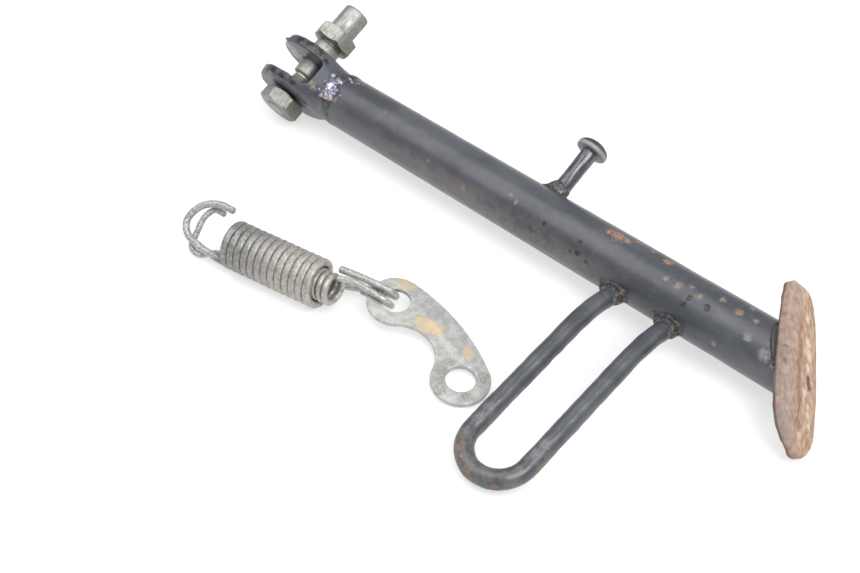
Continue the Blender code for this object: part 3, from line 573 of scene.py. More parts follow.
def foot_metal():
    """Bare worn sole: pinkish-grey and orange rust, cream rubbed patches, a brown seam."""
    look = Look("foot_rust_worn", FOOT)
    x, y = look.axis(0), look.axis(1)
    pink = look.colour(look.patch(0.34, 0.66, 3.2, 5, 0.65),
                       (0.275, 0.185, 0.145), (0.415, 0.315, 0.260))
    orange = look.colour(look.patch(0.36, 0.64, 2.2, 5, 0.65, stretch=(1.8, 1, 1), shift=4),
                         (0.33, 0.190, 0.118), (0.53, 0.385, 0.280))
    drift = look.noise(6, 5, 0.65, stretch=(1.5, 1, 1), shift=6)
    wander = look.plus(y, look.span(drift, -13.0, 13.0))
    look.shade = look.colour(look.step(wander, -11.0, 1.0), pink, orange)
    seam = look.plus(y, look.span(look.noise(5, 5, 0.65, shift=9), -6.0, 6.0))
    line = look.times(look.step(seam, -6.4, -5.0), look.step(seam, -2.2, -3.6))
    line = look.times(line, look.times(look.step(x, -24, -17), look.step(x, 26, 20)))
    look.lay(line, (0.27, 0.135, 0.070), 0.85)
    rim = look.plus(look.step(y, 8.0, 10.5), look.step(x, 31.0, 34.0))
    rim = look.math("MULTIPLY", rim, 0.6, clamp=True)
    look.lay(rim, (0.31, 0.190, 0.125))
    for places, ragged, grain, soft, shift, tone, share in (
            (FOOT_CREAM, 0.85, 2.0, 0.8, 0, (0.68, 0.585, 0.475), 0.8),
            (FOOT_BRIGHT, 0.95, 1.4, 0.45, 0, (0.37, 0.205, 0.115), 0.65),
            (FOOT_STEEL, 0.9, 3.0, 1.0, 0, (0.285, 0.275, 0.265), 0.55),
            (FOOT_DARK, 0.9, 0.9, 0.7, 5, (0.105, 0.115, 0.115), 0.8),
            (FOOT_SLOT, 0.4, 0.9, 0.5, 0, (0.095, 0.062, 0.048), 0.92)):
        mark = look.spots(places, ragged, grain, soft, shift)
        look.lay(mark, tone, share)         # the last one, the slot, is also cut in below
    back = look.step(look.axis(2), -3.6, -4.6)
    look.lay(back, (0.085, 0.058, 0.047), 0.75)
    speck = look.patch(0.60, 0.70, 0.6, 4, 0.7, shift=21, top=0.6)
    look.lay(speck, (0.185, 0.115, 0.082))
    rough = look.span(look.noise(1.6, 5, 0.6, shift=8), 0.55, 0.85)
    look.bump(look.noise(0.8, 6, 0.7, shift=2), 0.13)
    look.bump(look.rest(look.either(mark, look.times(speck, 0.6))), 0.25)
    return look.finish(rough, 0.1)


# ---------------------------------------------------------------- mesh building

def add_object(name, data):
    made = bpy.data.objects.new(name, data)
    bpy.context.scene.collection.objects.link(made)
    return made


def bake(bm, mesh):
    bm.to_mesh(mesh)
    bm.free()
    return mesh


def baked(thing):
    """The object's mesh with its modifiers or curve applied; the object is deleted."""
    bpy.context.view_layer.update()
    shown = thing.evaluated_get(bpy.context.evaluated_depsgraph_get())
    mesh = bpy.data.meshes.new_from_object(shown)
    bpy.data.objects.remove(thing, do_unlink=True)
    return mesh


def angles(sides, shift=0.0):
    return [2 * pi * (i + shift) / sides for i in range(sides)]


def closed_mesh(name, verts, faces):
    mesh = bpy.data.meshes.new(name)
    mesh.from_pydata([Vector(v) for v in verts], [], faces)
    bm = bmesh.new()
    bm.from_mesh(mesh)
    bmesh.ops.recalc_face_normals(bm, faces=bm.faces)
    return bake(bm, mesh)


def skin(name, rings, endless=False):
    """Faces between rings of points, one closed loop each, with flat ends."""
    sides, count = len(rings[0]), len(rings)
    faces = []
    for i in range(count if endless else count - 1):
        low, high = i * sides, (i + 1) % count * sides
        for j in range(sides):
            k = (j + 1) % sides
            faces.append((low + j, low + k, high + k, high + j))
    if not endless:
        faces.append(tuple(reversed(range(sides))))
        faces.append(tuple(range((count - 1) * sides, count * sides)))
    return closed_mesh(name, [p for ring in rings for p in ring], faces)


def turned(name, profile, sides, radius=None, endless=False):
    """A profile of (radius, height) turned about Z; radius(r, height, angle) may shape it."""
    rings = []
    for r, h in profile:
        ring = []
        for a in angles(sides):
            here = radius(r, h, a) if radius else r
            ring.append((here * cos(a), here * sin(a), h))
        rings.append(ring)
    return skin(name, rings, endless)


def catmull(points, spacing):
    ends = [2 * points[0] - points[1]] + points + [2 * points[-1] - points[-2]]
    route = []
    for before, start, end, after in zip(ends, ends[1:], ends[2:], ends[3:]):
        count = max(1, round((end - start).length / spacing))
        for i in range(count):
            t = i / count
            route.append(0.5 * (2 * start + (end - before) * t
                                + (2 * before - 5 * start + 4 * end - after) * t * t
                                + (3 * start - before - 3 * end + after) * t ** 3))
    return route + [points[-1]]


def wire(name, points, radius, sides, uneven=0.0, grain=2.0, chamfer=0.25, wide=1.0,
         coils=(0, 0)):
    """Wire along the points, a little uneven, with chamfered ends.

    Between the two X places in coils its section is squarer, and wide times wider along X.
    """
    tangent = (points[1] - points[0]).normalized()
    side = tangent.orthogonal().normalized()
    lead = chamfer * radius
    first = points[0] + tangent * lead
    last = points[-1] - (points[-1] - points[-2]).normalized() * lead
    route = [points[0], first] + points[1:-1] + [last, points[-1]]
    scales = [1 - chamfer * 0.8, 1.0] + [1.0] * (len(points) - 2) + [1.0, 1 - chamfer * 0.8]
    rings = []
    for i, (here, scale) in enumerate(zip(route, scales)):
        ahead = route[min(i + 1, len(route) - 1)] - route[max(i - 1, 0)]
        ahead.normalize()
        side = (side - ahead * side.dot(ahead)).normalized()
        up = ahead.cross(side)
        inside = min(1.0, max(0.0, min(here.x - coils[0], coils[1] - here.x) / 2.0))
        coiled = inside * max(0.0, 1 - 2 * abs(ahead.x)) if wide > 1 else 0.0
        ring = []
        for a in angles(sides):
            out = side * cos(a) + up * sin(a)
            r = radius * scale
            if uneven:
                r += uneven * noise.noise((here + out * radius) / grain)
            flat = (abs(out.x) ** 3.4 + (1 - out.x * out.x) ** 1.7) ** (-1 / 3.4)
            out *= r * (1 + (flat - 1) * coiled)
            out.x *= 1 + (wide - 1) * coiled
            ring.append(here + out)
        rings.append(ring)
    return skin(name, rings)


def show(name, mesh, place, look, body, sharp=38.0):
    """Places a mesh as a piece; NAME_look stands for the CAD node NAME."""
    mesh.transform(place @ Matrix.Scale(MM, 4))
    mesh.name = name
    mesh.materials.clear()
    mesh.materials.append(look)
    mesh.shade_smooth()
    mesh.set_sharp_from_angle(angle=radians(sharp))
    made = add_object(name, mesh)
    if body:
        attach(made, body)
    if name.endswith("_look"):
        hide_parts(name.removesuffix("_look"))
    return made


def forged(name, mesh, tools=(), voxel=0.5, passes=4, rough=0.0, grain=3.0):
    """The mesh less the tools, remade as one evenly meshed skin with rounded edges."""
    body = add_object(name + "_work", mesh)
    helpers = []
    for i, tool in enumerate(tools):
        helper = add_object(f"{name}_tool_{i}", tool)
        cut = body.modifiers.new("cut", "BOOLEAN")
        cut.operation = "DIFFERENCE"
        cut.solver = "EXACT"
        cut.object = helper
        helpers.append(helper)
    remade = body.modifiers.new("remade", "REMESH")
    remade.mode = "VOXEL"
    remade.voxel_size = voxel
    even = body.modifiers.new("even", "SMOOTH")
    even.factor = 0.5
    even.iterations = passes
    made = baked(body)
    for helper in helpers:
        bpy.data.objects.remove(helper, do_unlink=True)
    if rough:
        normals = [v.normal.copy() for v in made.vertices]
        for v, n in zip(made.vertices, normals):
            v.co += n * rough * noise.fractal(v.co / grain, 0.8, 2.1, 4)
    return made


def box(low, high):
    bm = bmesh.new()
    bmesh.ops.create_cube(bm, size=1.0)
    size = Vector(high) - Vector(low)
    bmesh.ops.scale(bm, vec=size, verts=bm.verts)
    bmesh.ops.translate(bm, vec=(Vector(high) + Vector(low)) / 2, verts=bm.verts)
    return bake(bm, bpy.data.meshes.new("box"))


def round_tool(radius, length, place):
    bm = bmesh.new()
    bmesh.ops.create_cone(bm, cap_ends=True, segments=64, radius1=radius, radius2=radius,
                          depth=length)
    bmesh.ops.transform(bm, matrix=place, verts=bm.verts)
    return bake(bm, bpy.data.meshes.new("round_tool"))


# ---------------------------------------------------------------- leg

def make_tube():
    """Pipe with slight waves in its wall; its foot end is mitred to the plate."""
    foot = LEG.inverted() @ FOOT
    out = foot.to_3x3() @ Vector((0, 0, 1))
    end_at = foot.translation / MM + out * (-FOOT_THICK - 0.5)
    sides, rows = 96, 150
    outer, inner = [], []
    for i in range(rows + 1):
        t = i / rows
        ring_out, ring_in = [], []
        for a in angles(sides):
            for radius, ring in ((TUBE_R, ring_out), (TUBE_R - TUBE_WALL, ring_in)):
                y, z = radius * cos(a), radius * sin(a)
                end = end_at.x - (out.y * (y - end_at.y) + out.z * (z - end_at.z)) / out.x
                x = TUBE_START + 0.4 + (end - TUBE_START - 0.4) * t
                wave = 1.0
                if radius == TUBE_R:
                    spot = Vector((x, y, z))
                    wave -= 0.012 * max(0.0, noise.noise(spot / 11.0) - 0.12)
                    wave -= 0.004 * max(0.0, noise.noise(spot / 2.5 + Vector((5, 5, 5))) - 0.30)
                ring.append((x, y * wave, z * wave))
        outer.append(ring_out)
        inner.append(ring_in)
    mesh = skin("leg_tube_look", outer + list(reversed(inner)), endless=True)
    show("leg_tube_look", mesh, LEG, tube_look, "leg")


def fork_section(x):
    blend = min(1.0, max(0.0, (x - EAR_STRAIGHT) / (TUBE_START - ROOT_ROUND - EAR_STRAIGHT)))
    blend = blend * blend * (3 - 2 * blend)
    height = sqrt(max(0.0, EAR_R ** 2 - x ** 2)) if x < 0 else EAR_R + (ROOT_R - EAR_R) * blend
    under = EAR_UNDER / EAR_R
    under += (1 - under) * min(1.0, max(0.0, x / TUBE_START))
    near = EAR_NEAR + (-ROOT_R - EAR_NEAR) * blend
    far = EAR_FAR + (ROOT_R - EAR_FAR) * blend
    return near, far, height, height * under, 9.0 - 7.0 * blend


BURR_AT, BURR_WAY = Vector((-9.2, 7.8, 14.8)), Vector((-0.52, -0.15, 0.84))
BURR_R, BURR_HIGH = 2.3, 2.6


def make_fork():
    """Forged clevis with softened edges, hammer marks and a burr on the far ear's rim."""
    sides = 96
    stations = [-EAR_R * cos(radians(a)) for a in range(2, 90, 4)]
    stations += [x * (TUBE_START - 0.3) / 30 for x in range(31)]
    rings = []
    for x in stations:
        near, far, above, under, square = fork_section(x)
        middle, width = (near + far) / 2, (far - near) / 2
        ring = []
        for a in angles(sides, 0.5):
            c, s = cos(a), sin(a)
            y = middle + width * abs(c) ** (2 / square) * (1 if c > 0 else -1)
            ring.append((x, y, (above if s > 0 else -under) * abs(s) ** (2 / square)))
        rings.append(ring)
    solid = skin("fork_solid", rings)
    along_y = Matrix.Rotation(radians(-90), 4, "X")
    corner_x, corner_y = SLOT_DEPTH - SLOT_CORNER, EAR_HALF_GAP - SLOT_CORNER
    tools = [box((-40, -EAR_HALF_GAP, -40), (corner_x, EAR_HALF_GAP, 40)),
             box((-40, -corner_y, -41), (SLOT_DEPTH, corner_y, 41)),
             round_tool(SLOT_CORNER, 90, Matrix.Translation((corner_x, corner_y, 0))),
             round_tool(SLOT_CORNER, 88, Matrix.Translation((corner_x, -corner_y, 0))),
             round_tool(SHOULDER_R + 0.45, 30, Matrix.Translation((0, 15, 0)) @ along_y),
             round_tool(THREAD_R + 0.45, 30, Matrix.Translation((0, -15, 0)) @ along_y)]
    mesh = forged("fork", solid, tools, voxel=0.42, passes=5, rough=0.16, grain=4.0)
    for v in mesh.vertices:
        near = max(0.0, 1 - (v.co - BURR_AT).length / BURR_R)
        v.co += BURR_WAY * BURR_HIGH * near * near
    show("pivot_fork_look", mesh, LEG, fork_look, "leg", sharp=60)


def blob(bm, at, size):
    made = bmesh.ops.create_icosphere(bm, subdivisions=2, radius=1.0)["verts"]
    bmesh.ops.scale(bm, vec=size, verts=made)
    bmesh.ops.translate(bm, vec=at, verts=made)


def make_fork_weld():
    """Flat bead round the joint with a heap of fused drops on its upper side."""
    sides = 180
    rings = []
    for t in angles(24):
        ring = []
        for a in angles(sides):
            top = max(0.0, cos(a - radians(80))) ** 2
            drift = noise.noise(Vector((cos(a) * 3, sin(a) * 3, 2)))
            ripple = 0.5 + 0.5 * sin(a * 34 + 1.5 * drift)
            high = 0.35 + 0.85 * top + 0.22 * ripple * (0.3 + top)
            wide = 2.1 + 1.0 * top + 0.5 * noise.noise(Vector((cos(a) * 2, sin(a) * 2, 7)))
            r = TUBE_R - 0.25 + high * sin(t)
            x = TUBE_START + wide * cos(t) + 0.25 * ripple * sin(t)
            ring.append((x, r * cos(a), r * sin(a)))
        rings.append(ring)
    bead = skin("fork_weld_look", rings, endless=True)
    show("fork_weld_look", bead, LEG, weld_look("weld_fork", 0.30, WELD_GLINT),
         "leg", sharp=70)
    bm = bmesh.new()
    for _ in range(60):
        x = random.gauss(27.3, 2.0)
        a = radians(random.gauss(99, 11))
        near = 1 - min(1.0, abs(x - 27.3) / 7)
        r = TUBE_R - 0.1 + 0.5 * near
        size = random.uniform(1.1, 1.8) * (0.65 + 0.45 * near)
        blob(bm, (x, r * cos(a), r * sin(a)), (size * 1.25, size * 1.25, size * 0.9))
    for x, a, size in ((33.5, 60, 0.9), (36.5, 52, 0.8), (31.0, 55, 1.1), (22.5, 112, 1.2),
                       (34.5, 102, 0.8), (39, 48, 0.6)):
        a = radians(a)
        blob(bm, (x, TUBE_R * cos(a), TUBE_R * sin(a)), (size * 1.3, size, size))
    drops = bake(bm, bpy.data.meshes.new("weld_spatter_solid"))
    mesh = forged("spatter", drops, voxel=0.26, passes=3, rough=0.07, grain=1.6)
    show("weld_spatter", mesh, LEG, spatter_metal(), "leg", sharp=70)


def make_post():
    """Stud with a domed, slightly flattened head."""
    dome = POST_TOP - POST_NECK
    profile = [(0.35, POST_TOP)]
    for a in (80, 70, 60, 50, 40, 30, 20, 11, 3):
        r = POST_HEAD_R * cos(radians(a)) ** 0.92
        profile.append((r, POST_NECK + 1.5 + (dome - 1.5) * sin(radians(a))))
    profile += [(POST_HEAD_R, POST_NECK + 1.0), (POST_HEAD_R * 0.985, POST_NECK + 0.45),
                (POST_HEAD_R * 0.94, POST_NECK + 0.12), (POST_HEAD_R * 0.88, POST_NECK),
                (POST_R + 0.9, POST_NECK), (POST_R + 0.25, POST_NECK - 0.35),
                (POST_R, POST_NECK - 1.0)]
    base = TUBE_R + 0.1
    for i in range(1, 24):
        h = POST_NECK - 1.0 + (base - POST_NECK + 1.0) * i / 24
        profile.append((POST_R - 0.18 * sin(pi * i / 24), h))
    profile += [(POST_R, base), (0.35, base)]

    def uneven(r, h, a):
        return r * (1 + 0.022 * noise.noise(Vector((cos(a), sin(a), h / 5)) * 1.4))

    mesh = turned("spring_post_look", profile, 64, uneven)
    place = PIN @ Matrix.Translation((POST_X * MM, 0, 0))
    show("spring_post_look", mesh, place, post_paint(), "leg")


def root_weld(name, place, rod_r, foot_r, height, stretch, shift, look):
    """Fillet from a rod down to the tube, laid as a ring of overlapping ripples."""
    sides, rows = 72, 16
    rings = []
    for i in range(rows + 1):
        t = i / rows
        ring = []
        for a in angles(sides):
            lump = noise.noise(Vector((cos(a) * 1.6, sin(a) * 1.6, foot_r)))
            high = place @ Vector((rod_r * 0.9 * cos(a), rod_r * 0.9 * sin(a),
                                   height * (1 + 0.28 * lump)))
            wide = foot_r * (1 + 0.16 * lump)
            low = place @ Vector((wide * (1 + stretch) * cos(a) + shift, wide * sin(a), 0))
            flat = Vector((0, low.y, low.z)).normalized() * (TUBE_R - 0.5)
            low = Vector((low.x, flat.y, flat.z))
            here = high.lerp(low, t)
            out = here - place.translation
            along = place.to_3x3() @ Vector((0, 0, 1))
            out = (out - along * out.dot(along)).normalized() + along * 0.8
            ripple = 0.16 * sin(a * 13 + t * 5) * sin(pi * t)
            sag = -0.75 * sin(pi * t) + 1.1 * sin(pi * min(1.0, t * 1.6)) * (1 - t)
            ring.append(here + out.normalized() * (sag + ripple + 0.25 * lump * sin(pi * t)))
        rings.append(ring)
    mesh = skin(name, rings)
    show(name, mesh, LEG, look, "leg", sharp=70)


def loop_route():
    """The foot loop's centreline in the leg frame, from one root round to the other."""
    root = Vector((-cos(LOOP_ROOT), sin(LOOP_ROOT))) * (TUBE_R - 1)
    bend = LOOP_BEND
    end = Vector((LOOP_END_Y, bend.y + (bend.x - LOOP_END_Y) * tan(LOOP_FALL)))
    start, finish = root.lerp(bend, 0.4), bend.lerp(end, 0.16)
    side = [root, root.lerp(bend, 0.2)]
    for i in range(13):
        t = i / 12
        side.append(start.lerp(bend, t).lerp(bend.lerp(finish, t), t))
    side += [bend.lerp(end, t) for t in (0.25, 0.4, 0.55, 0.7, 0.85, 1.0)]
    down = (end - bend).normalized()
    points = [Vector((LOOP_X - LOOP_HALF, p.x, p.y)) for p in side]
    for i in range(1, 32):
        a = pi * i / 32
        over = end + down * LOOP_HALF * sin(a)
        points.append(Vector((LOOP_X - LOOP_HALF * cos(a), over.x, over.y)))
    return points + [Vector((LOOP_X + LOOP_HALF, p.x, p.y)) for p in reversed(side)]


def make_loop():
    route = catmull(loop_route(), 0.8)
    mesh = wire("foot_loop_look", route, ROD_R, 32, uneven=0.22, grain=5.0, chamfer=0.05)
    show("foot_loop_look", mesh, LEG, loop_look, "leg", sharp=60)
    rusty = weld_look("weld_roots", 0.46, (0.070, 0.070, 0.075))
    for name, start, after in (("loop_weld_pivot_side", route[0], route[8]),
                               ("loop_weld_foot_side", route[-1], route[-9])):
        out = (after - start).normalized()
        across = Vector((1, 0, 0))
        place = turn_to(across, out.cross(across), out)
        place.translation = start
        root_weld(name + "_look", place, ROD_R, foot_r=6.9, height=6.6, stretch=0.22,
                  shift=-1.3, look=rusty)


def make_post_weld():
    place = Matrix.Translation((POST_X, TUBE_R, 0)) @ Matrix.Rotation(radians(-90), 4, "X")
    root_weld("post_weld_look", place, POST_R, foot_r=5.9, height=4.6, stretch=0.5,
              shift=-2.6, look=weld_look("weld_post", 0.30))


FOOT_NEAR = [(-36.6, -7.6), (-35.4, -9.0), (-27.3, -11.4), (-17.8, -13.2), (-6.0, -14.8),
    (8.0, -15.5), (17.2, -15.0), (23.8, -12.9), (28.5, -8.6), (33.2, -2.6)]
FOOT_FAR = [(-36.6, 3.8), (-34.6, 7.0), (-31.0, 9.2), (-25.9, 10.4), (-11.4, 11.2), (3.2, 11.3),
    (16.2, 11.2), (22.0, 10.6), (26.5, 8.8), (30.8, 4.4), (33.2, 0.6)]


def edge_at(edge, x):
    """Height of a drawn edge at x, straight between its points."""
    for (x0, y0), (x1, y1) in zip(edge, edge[1:]):
        if x <= x1:
            return y0 + (y1 - y0) * (x - x0) / (x1 - x0)
    return edge[-1][1]


def make_foot():
    """Sole plate: worn, slightly arched, with a faint lengthwise step and rounded rim."""
    long_steps, cross_steps = 96, 36
    verts, faces = [], []
    low_x, high_x = FOOT_NEAR[0][0], FOOT_NEAR[-1][0]
    for side in (0, 1):
        for i in range(long_steps + 1):
            x = low_x + (high_x - low_x) * i / long_steps
            near, far = edge_at(FOOT_NEAR, x), edge_at(FOOT_FAR, x)
            for j in range(cross_steps + 1):
                y = near + (far - near) * j / cross_steps
                z = -1.0 * ((x + 2.2) / 36) ** 2 - 1.0 * ((y + 2.4) / 13.75) ** 2
                if side:
                    z -= FOOT_THICK
                else:
                    step = 1 / (1 + 2.718 ** (-(y + 4.6 + 0.8 * sin(x / 6)) * 1.6))
                    z += 0.12 * (1 - step) - 0.22 + 0.14 * noise.noise(Vector((x / 9, y / 5, 3)))
                verts.append((x, y, z))
    width = cross_steps + 1
    face_count = (long_steps + 1) * width
    for i in range(long_steps):
        for j in range(cross_steps):
            a = i * width + j
            faces.append((a, a + width, a + width + 1, a + 1))
            faces.append(tuple(face_count + k for k in (a, a + 1, a + width + 1, a + width)))
    rim = [i * width for i in range(long_steps + 1)]
    rim += [long_steps * width + j for j in range(1, width)]
    rim += [i * width + cross_steps for i in range(long_steps - 1, -1, -1)]
    rim += [j for j in range(cross_steps - 1, 0, -1)]
    for a, b in zip(rim, rim[1:] + rim[:1]):
        faces.append((a, b, b + face_count, a + face_count))
    solid = closed_mesh("foot_solid", verts, faces)
    mesh = forged("foot", solid, voxel=0.45, passes=6, rough=0.10, grain=2.2)
    show("foot_plate_look", mesh, FOOT, foot_metal(), "leg", sharp=70)


def make_foot_weld():
    """Rippled fillet between the tube's end and the back of the plate."""
    foot = LEG.inverted() @ FOOT
    out = foot.to_3x3() @ Vector((0, 0, 1))
    back_at = foot.translation / MM + out * (-FOOT_THICK - 0.4)
    sides, rows = 150, 12
    rings = []
    for i in range(rows + 1):
        t = i / rows
        ring = []
        for a in angles(sides):
            lump = noise.noise(Vector((cos(a) * 2.5, sin(a) * 2.5, 1)))
            ripple = 0.5 + 0.5 * sin(a * 30 + 2 * lump)

            def on_plate(radius, lift):
                y, z = radius * cos(a), radius * sin(a)
                x = back_at.x - (out.y * (y - back_at.y) + out.z * (z - back_at.z)) / out.x
                return Vector((x - lift, y, z))

            low = on_plate(TUBE_R + 0.8 + 0.25 * lump, 0.1)
            high = on_plate(TUBE_R - 0.3, 1.7 + 0.4 * lump)
            here = high.lerp(low, t)
            swell = (0.15 + 0.25 * ripple) * sin(pi * t)
            ring.append(here + Vector((-0.6, cos(a), sin(a))) * swell)
        rings.append(ring)
    hidden = []
    for p in rings[-1]:
        flat = Vector((0, p.y, p.z)).normalized() * (TUBE_R - 0.6)
        hidden.append(Vector((p.x, flat.y, flat.z)))
    mesh = skin("foot_weld_look", rings + [hidden], endless=True)
    show("foot_plate_weld_look", mesh, LEG, weld_look("weld_foot", 0.30, WELD_GLINT),
         "leg", sharp=70)


# ---------------------------------------------------------------- bolt and nut

PITCH = 1.25
HEX_MARK, THREAD_MARK = 20.0, 1.0 + THREAD_R     # radii that shape() replaces
THREAD_TOP, THREAD_END, GROOVE_END = 1.8, 19.9, 20.6


def hex_radius(a, turn, flat, slack):
    turned_by = (a - radians(turn) + radians(30)) % radians(60) - radians(30)
    return min(flat / cos(turned_by), flat + slack)


def hex_rows(start, end):
    """Profile rows of a hexagon, closest together at its chamfers."""
    way = 1 if end > start else -1
    steps = (0, 0.12, 0.25, 0.4, 0.6, 0.85, 1.2)
    rows = [start + way * step for step in steps] + [(start + end) / 2]
    rows += [end - way * step for step in reversed(steps)]
    return [(HEX_MARK, h) for h in rows]


def make_bolt():
    """Turned bolt: thread, relief, shoulder, grooved collar, chamfered hexagon, plain end."""
    profile = [(0.3, BOLT_FAR - 1.4), (1.3, BOLT_FAR - 0.1), (1.6, BOLT_FAR),
               (BOLT_R - 1.0, BOLT_FAR), (BOLT_R - 0.45, BOLT_FAR - 0.18),
               (BOLT_R - 0.12, BOLT_FAR - 0.55), (BOLT_R, BOLT_FAR - 1.1)]
    for i in range(1, 12):
        profile.append((BOLT_R, BOLT_FAR - 1.1 - (BOLT_FAR - HEX_HIGH - 1.6) * i / 12))
    profile += [(BOLT_R + 0.15, HEX_HIGH + 0.3), (BOLT_R + 0.5, HEX_HIGH + 0.02)]
    profile += hex_rows(HEX_HIGH, HEX_LOW)
    profile += [(BOLT_R - 0.1, HEX_LOW - 0.02), (BOLT_R - 0.6, HEX_LOW - 0.3),
                (BOLT_R - 0.6, HEX_LOW - 1.0), (BOLT_R - 0.25, HEX_LOW - 1.35),
                (BOLT_R, HEX_LOW - 1.8), (BOLT_R, EAR_FAR + 1.0), (BOLT_R - 0.2, EAR_FAR + 0.5),
                (BOLT_R - 0.5, EAR_FAR + 0.32), (SHOULDER_R, EAR_FAR + 0.3)]
    profile += [(SHOULDER_R, h) for h in (12, 10, 8, 6, 4, 2, 0.7)]
    profile += [(SHOULDER_R - 0.25, 0.25), (THREAD_R - 0.5, -0.35), (THREAD_R - 0.5, -1.3)]
    run = THREAD_END - THREAD_TOP
    steps = round(run / PITCH * 9)
    profile += [(THREAD_MARK, -THREAD_TOP - run * i / steps) for i in range(steps + 1)]
    profile += [(THREAD_R - 0.55, -GROOVE_END), (THREAD_R - 1.0, BOLT_NEAR + 0.1),
                (THREAD_R - 1.3, BOLT_NEAR), (0.3, BOLT_NEAR)]

    def shape(r, h, a):
        if r == HEX_MARK:
            edge = min(HEX_HIGH - h, h - HEX_LOW)
            return hex_radius(a, HEX_TURN, HEX_FLAT, -0.15 + edge * 1.75)
        if r == THREAD_MARK:
            phase = (h / PITCH - a / (2 * pi)) % 1.0
            tooth = min(phase, 1 - phase) * 2
            fade = min(1.0, (-1.5 - h) / 1.2, (GROOVE_END + h) / 1.0)
            return THREAD_R - 0.62 * tooth * max(0.0, fade) - 0.04
        if r > 2:
            return r * (1 + 0.006 * noise.noise(Vector((cos(a), sin(a), h / 4)) * 2.2))
        return r

    mesh = turned("pivot_bolt_look", profile, 144, shape)
    show("pivot_bolt_look", mesh, PIN, bolt_metal(), "pivot_bolt", sharp=32)


def make_nut():
    """Hexagon nut, both faces chamfered, with a countersunk bore."""
    low, high = NUT_OUTER, NUT_INNER
    profile = hex_rows(low, high)
    profile += [(7.2, high), (6.2, high), (5.75, high - 0.05), (THREAD_R + 0.24, high - 0.8)]
    profile += [(THREAD_R + 0.24, high - 0.8 + (low - high + 1.6) * i / 5) for i in range(1, 6)]
    profile += [(5.75, low + 0.05), (6.2, low), (7.2, low)]

    def shape(r, h, a):
        if r != HEX_MARK:
            return r
        edge = min(h - low, high - h)
        return hex_radius(a, NUT_TURN, HEX_FLAT, -0.2 + edge * 1.75)

    mesh = turned("pivot_nut_look", profile, 144, shape, endless=True)
    show("pivot_nut_look", mesh, PIN, nut_metal(), "pivot_nut", sharp=30)


# ---------------------------------------------------------------- springs and link


def hook(points):
    """Hook points given as (along, across, height over the floor)."""
    return [Vector((s, h, z - SPRING_HIGH)) for s, h, z in points]


def coil(radius, pitch, start, angle, turns, steps=30):
    points = []
    for i in range(round(turns * steps) + 1):
        a = radians(angle) + 2 * pi * i / steps
        points.append(Vector((start + pitch * i / steps, radius * cos(a), radius * sin(a))))
    return points


def make_spring(name, left, body, right, radius, look):
    """Hook, coil and hook in one wire, which stretches between its two ends."""
    route = catmull(hook(left) + body[:1], 0.9)[:-1] + body
    route += catmull(body[-1:] + hook(right), 0.9)[1:]
    mesh = wire(name, route, radius, 24, uneven=0.05, grain=1.1, chamfer=0.22, wide=1.085,
                coils=(0.0, 50.0))
    made = show(name, mesh, SPRING, look, None, sharp=60)
    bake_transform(made)


def make_springs():
    outer_left = [(-4.4, 10.2, 19.0), (-13.3, 10.2, 18.9), (-20.8, 7.1, 16.5), (-24.3, 1.2, 11.8),
                  (-20.9, -3.4, 8.1), (-12.8, -5.5, 6.4), (-4.5, -6.2, 5.2)]
    outer_right = [(54.0, 11.5, 2.8), (64.0, 15.6, 2.6), (72.0, 16.6, 3.4), (76.4, 14.0, 6.8),
                   (74.8, 11.6, 11.4), (68.0, 10.4, 13.2), (60.0, 9.8, 13.8), (52.0, 9.0, 14.2)]
    inner_left = [(-10.2, 10.3, 14.3), (-15.9, 10.2, 14.2), (-18.6, 5.8, 11.9), (-18.9, 0.6, 7.7),
                  (-18.4, -4.8, 3.2), (-13.5, -6.2, 1.9), (-8.0, -3.2, 2.9), (-3.5, -2.6, 4.4)]
    inner_right = [(61.0, 6.2, 13.7), (69.5, 6.1, 12.6), (75.5, 6.6, 10.6), (77.8, 8.2, 7.2),
                   (75.5, 10.4, 4.4), (68.5, 11.5, 3.6), (61.0, 10.9, 4.2)]
    make_spring("outer_spring_look", outer_left, coil(9.15, 3.58, 1.5, 232, 13.25),
                outer_right, 1.60, spring_metal("outer_wire", 0.55))
    make_spring("inner_spring_look", inner_left, coil(5.65, 3.0, 0.5, 235, 18.5),
                inner_right, 1.36, spring_metal("inner_wire", 0.6))


def arc(cx, cy, radius, start, end, count):
    turns = [start + (end - start) * i / count for i in range(count + 1)]
    return [(cx + radius * cos(a), cy + radius * sin(a)) for a in turns]


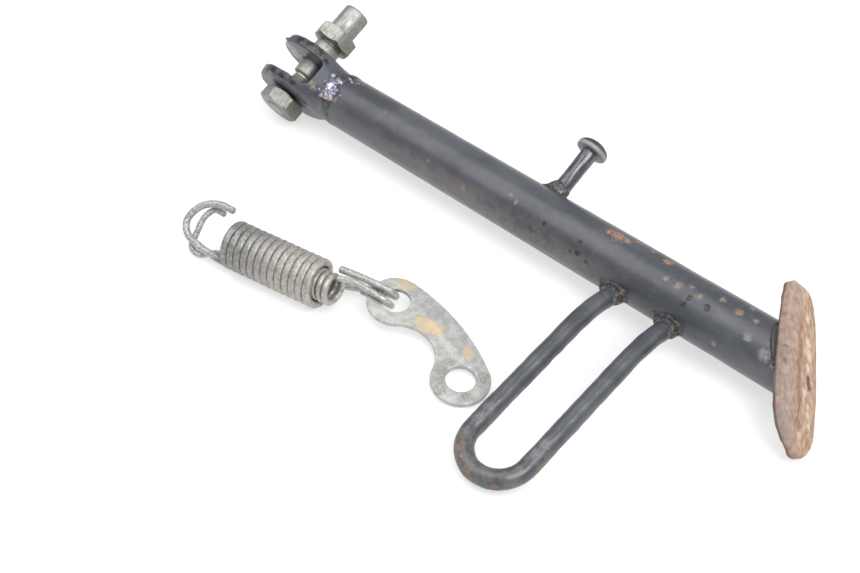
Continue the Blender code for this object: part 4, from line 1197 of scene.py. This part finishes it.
def make_link():
    """Stamped plate with the same rounded edge on both faces, and two holes."""
    half = LINK_SPAN / 2
    outer_r = (half ** 2 + LINK_CROWN ** 2 - LINK_LOBE ** 2) / (2 * (LINK_CROWN - LINK_LOBE))
    outer_y = LINK_CROWN - outer_r
    inner_r = (half ** 2 + LINK_WAIST ** 2 - LINK_LOBE ** 2) / (2 * (LINK_LOBE + LINK_WAIST))
    inner_y = LINK_WAIST - inner_r
    lean, dip = atan2(-outer_y, half), atan2(-inner_y, half)
    rim = arc(half, outer_y, outer_r, pi - lean, lean, 40)
    rim += arc(LINK_SPAN, 0, LINK_LOBE, lean, -pi + dip, 60)[1:]
    rim += arc(half, inner_y, inner_r, dip, pi - dip, 36)[1:]
    rim += arc(0, 0, LINK_LOBE, 2 * pi - dip, pi - lean, 60)[1:-1]
    curve = bpy.data.curves.new("link_outline", "CURVE")
    curve.dimensions = "2D"
    curve.fill_mode = "BOTH"
    curve.extrude = LINK_THICK / 2 - LINK_EDGE
    curve.bevel_depth = LINK_EDGE
    curve.bevel_resolution = 3
    curve.offset = -LINK_EDGE
    holes = [arc(x, 0, LINK_HOLE, 0, 2 * pi * 71 / 72, 71) for x in (0.0, LINK_SPAN)]
    for outline in [rim] + holes:
        line = curve.splines.new("POLY")
        line.points.add(len(outline) - 1)
        line.use_cyclic_u = True
        for point, (x, y) in zip(line.points, outline):
            point.co = (x, y, 0.0, 1.0)
    mesh = baked(add_object("link_work", curve))
    bm = bmesh.new()
    bm.from_mesh(mesh)
    bmesh.ops.remove_doubles(bm, verts=bm.verts, dist=0.001)
    bmesh.ops.recalc_face_normals(bm, faces=bm.faces)
    show("link_plate_look", bake(bm, mesh), LINK, link_metal(), "link_plate", sharp=24)


# ---------------------------------------------------------------- stage

FLOOR, FLOOR_DROP = 3.0, 0.0002
LAMPS = [("softbox_top", (-0.34, -0.16, 0.80), (0, 0, 0), 0.8, 4.2),
    ("softbox_side", (0.55, 0.75, 0.60), (0, 0, 0), 0.8, 2.2),
    ("softbox_front", (0.50, -0.13, 0.80), (0.06, 0, 0), 0.5, 6.0)]


def make_stage():
    """White floor, pale world and three softboxes given as place, aim, size and watts."""
    mesh = bpy.data.meshes.new("floor")
    corners = [(-FLOOR, -FLOOR, 0), (FLOOR, -FLOOR, 0), (FLOOR, FLOOR, 0), (-FLOOR, FLOOR, 0)]
    mesh.from_pydata(corners, [], [(0, 1, 2, 3)])
    floor = add_object("floor", mesh)
    paper = bpy.data.materials.new("floor_white")
    paper.use_nodes = True
    shader = paper.node_tree.nodes["Principled BSDF"]
    shader.inputs["Base Color"].default_value = (0.42, 0.42, 0.42, 1)
    shader.inputs["Roughness"].default_value = 0.7
    shader.inputs["Emission Color"].default_value = (1, 1, 1, 1)
    shader.inputs["Emission Strength"].default_value = 0.60
    mesh.materials.append(paper)
    floor.location.z = -FLOOR_DROP
    world = bpy.data.worlds.new("studio")
    world.use_nodes = True
    sky = world.node_tree.nodes["Background"]
    sky.inputs["Color"].default_value = (0.98, 0.985, 1.0, 1)
    sky.inputs["Strength"].default_value = 0.46
    bpy.context.scene.world = world
    for name, place, aim, size, power in LAMPS:
        lamp = bpy.data.lights.new(name, "AREA")
        lamp.size = size
        lamp.energy = power
        made = add_object(name, lamp)
        made.location = place
        made.rotation_euler = (Vector(aim) - Vector(place)).to_track_quat("-Z", "Y").to_euler()
    bpy.context.scene.view_settings.view_transform = "Standard"


def make_camera():
    data = bpy.data.cameras.new("camera")
    data.lens = 51.907
    data.sensor_width = 36.0
    data.clip_start = 0.01
    camera = add_object("camera", data)
    turn = turn_to((0.72929, 0.68420, 0.0), (-0.48381, 0.51569, 0.70711),
                   (0.48381, -0.51569, 0.70711))
    camera.matrix_world = Matrix.Translation((0.24848, -0.28596, 0.37557)) @ turn
    bpy.context.scene.camera = camera


make_camera()
make_stage()
make_tube()
make_fork()
make_fork_weld()
make_post()
make_post_weld()
make_loop()
make_foot()
make_foot_weld()
make_bolt()
make_nut()
make_springs()
make_link()
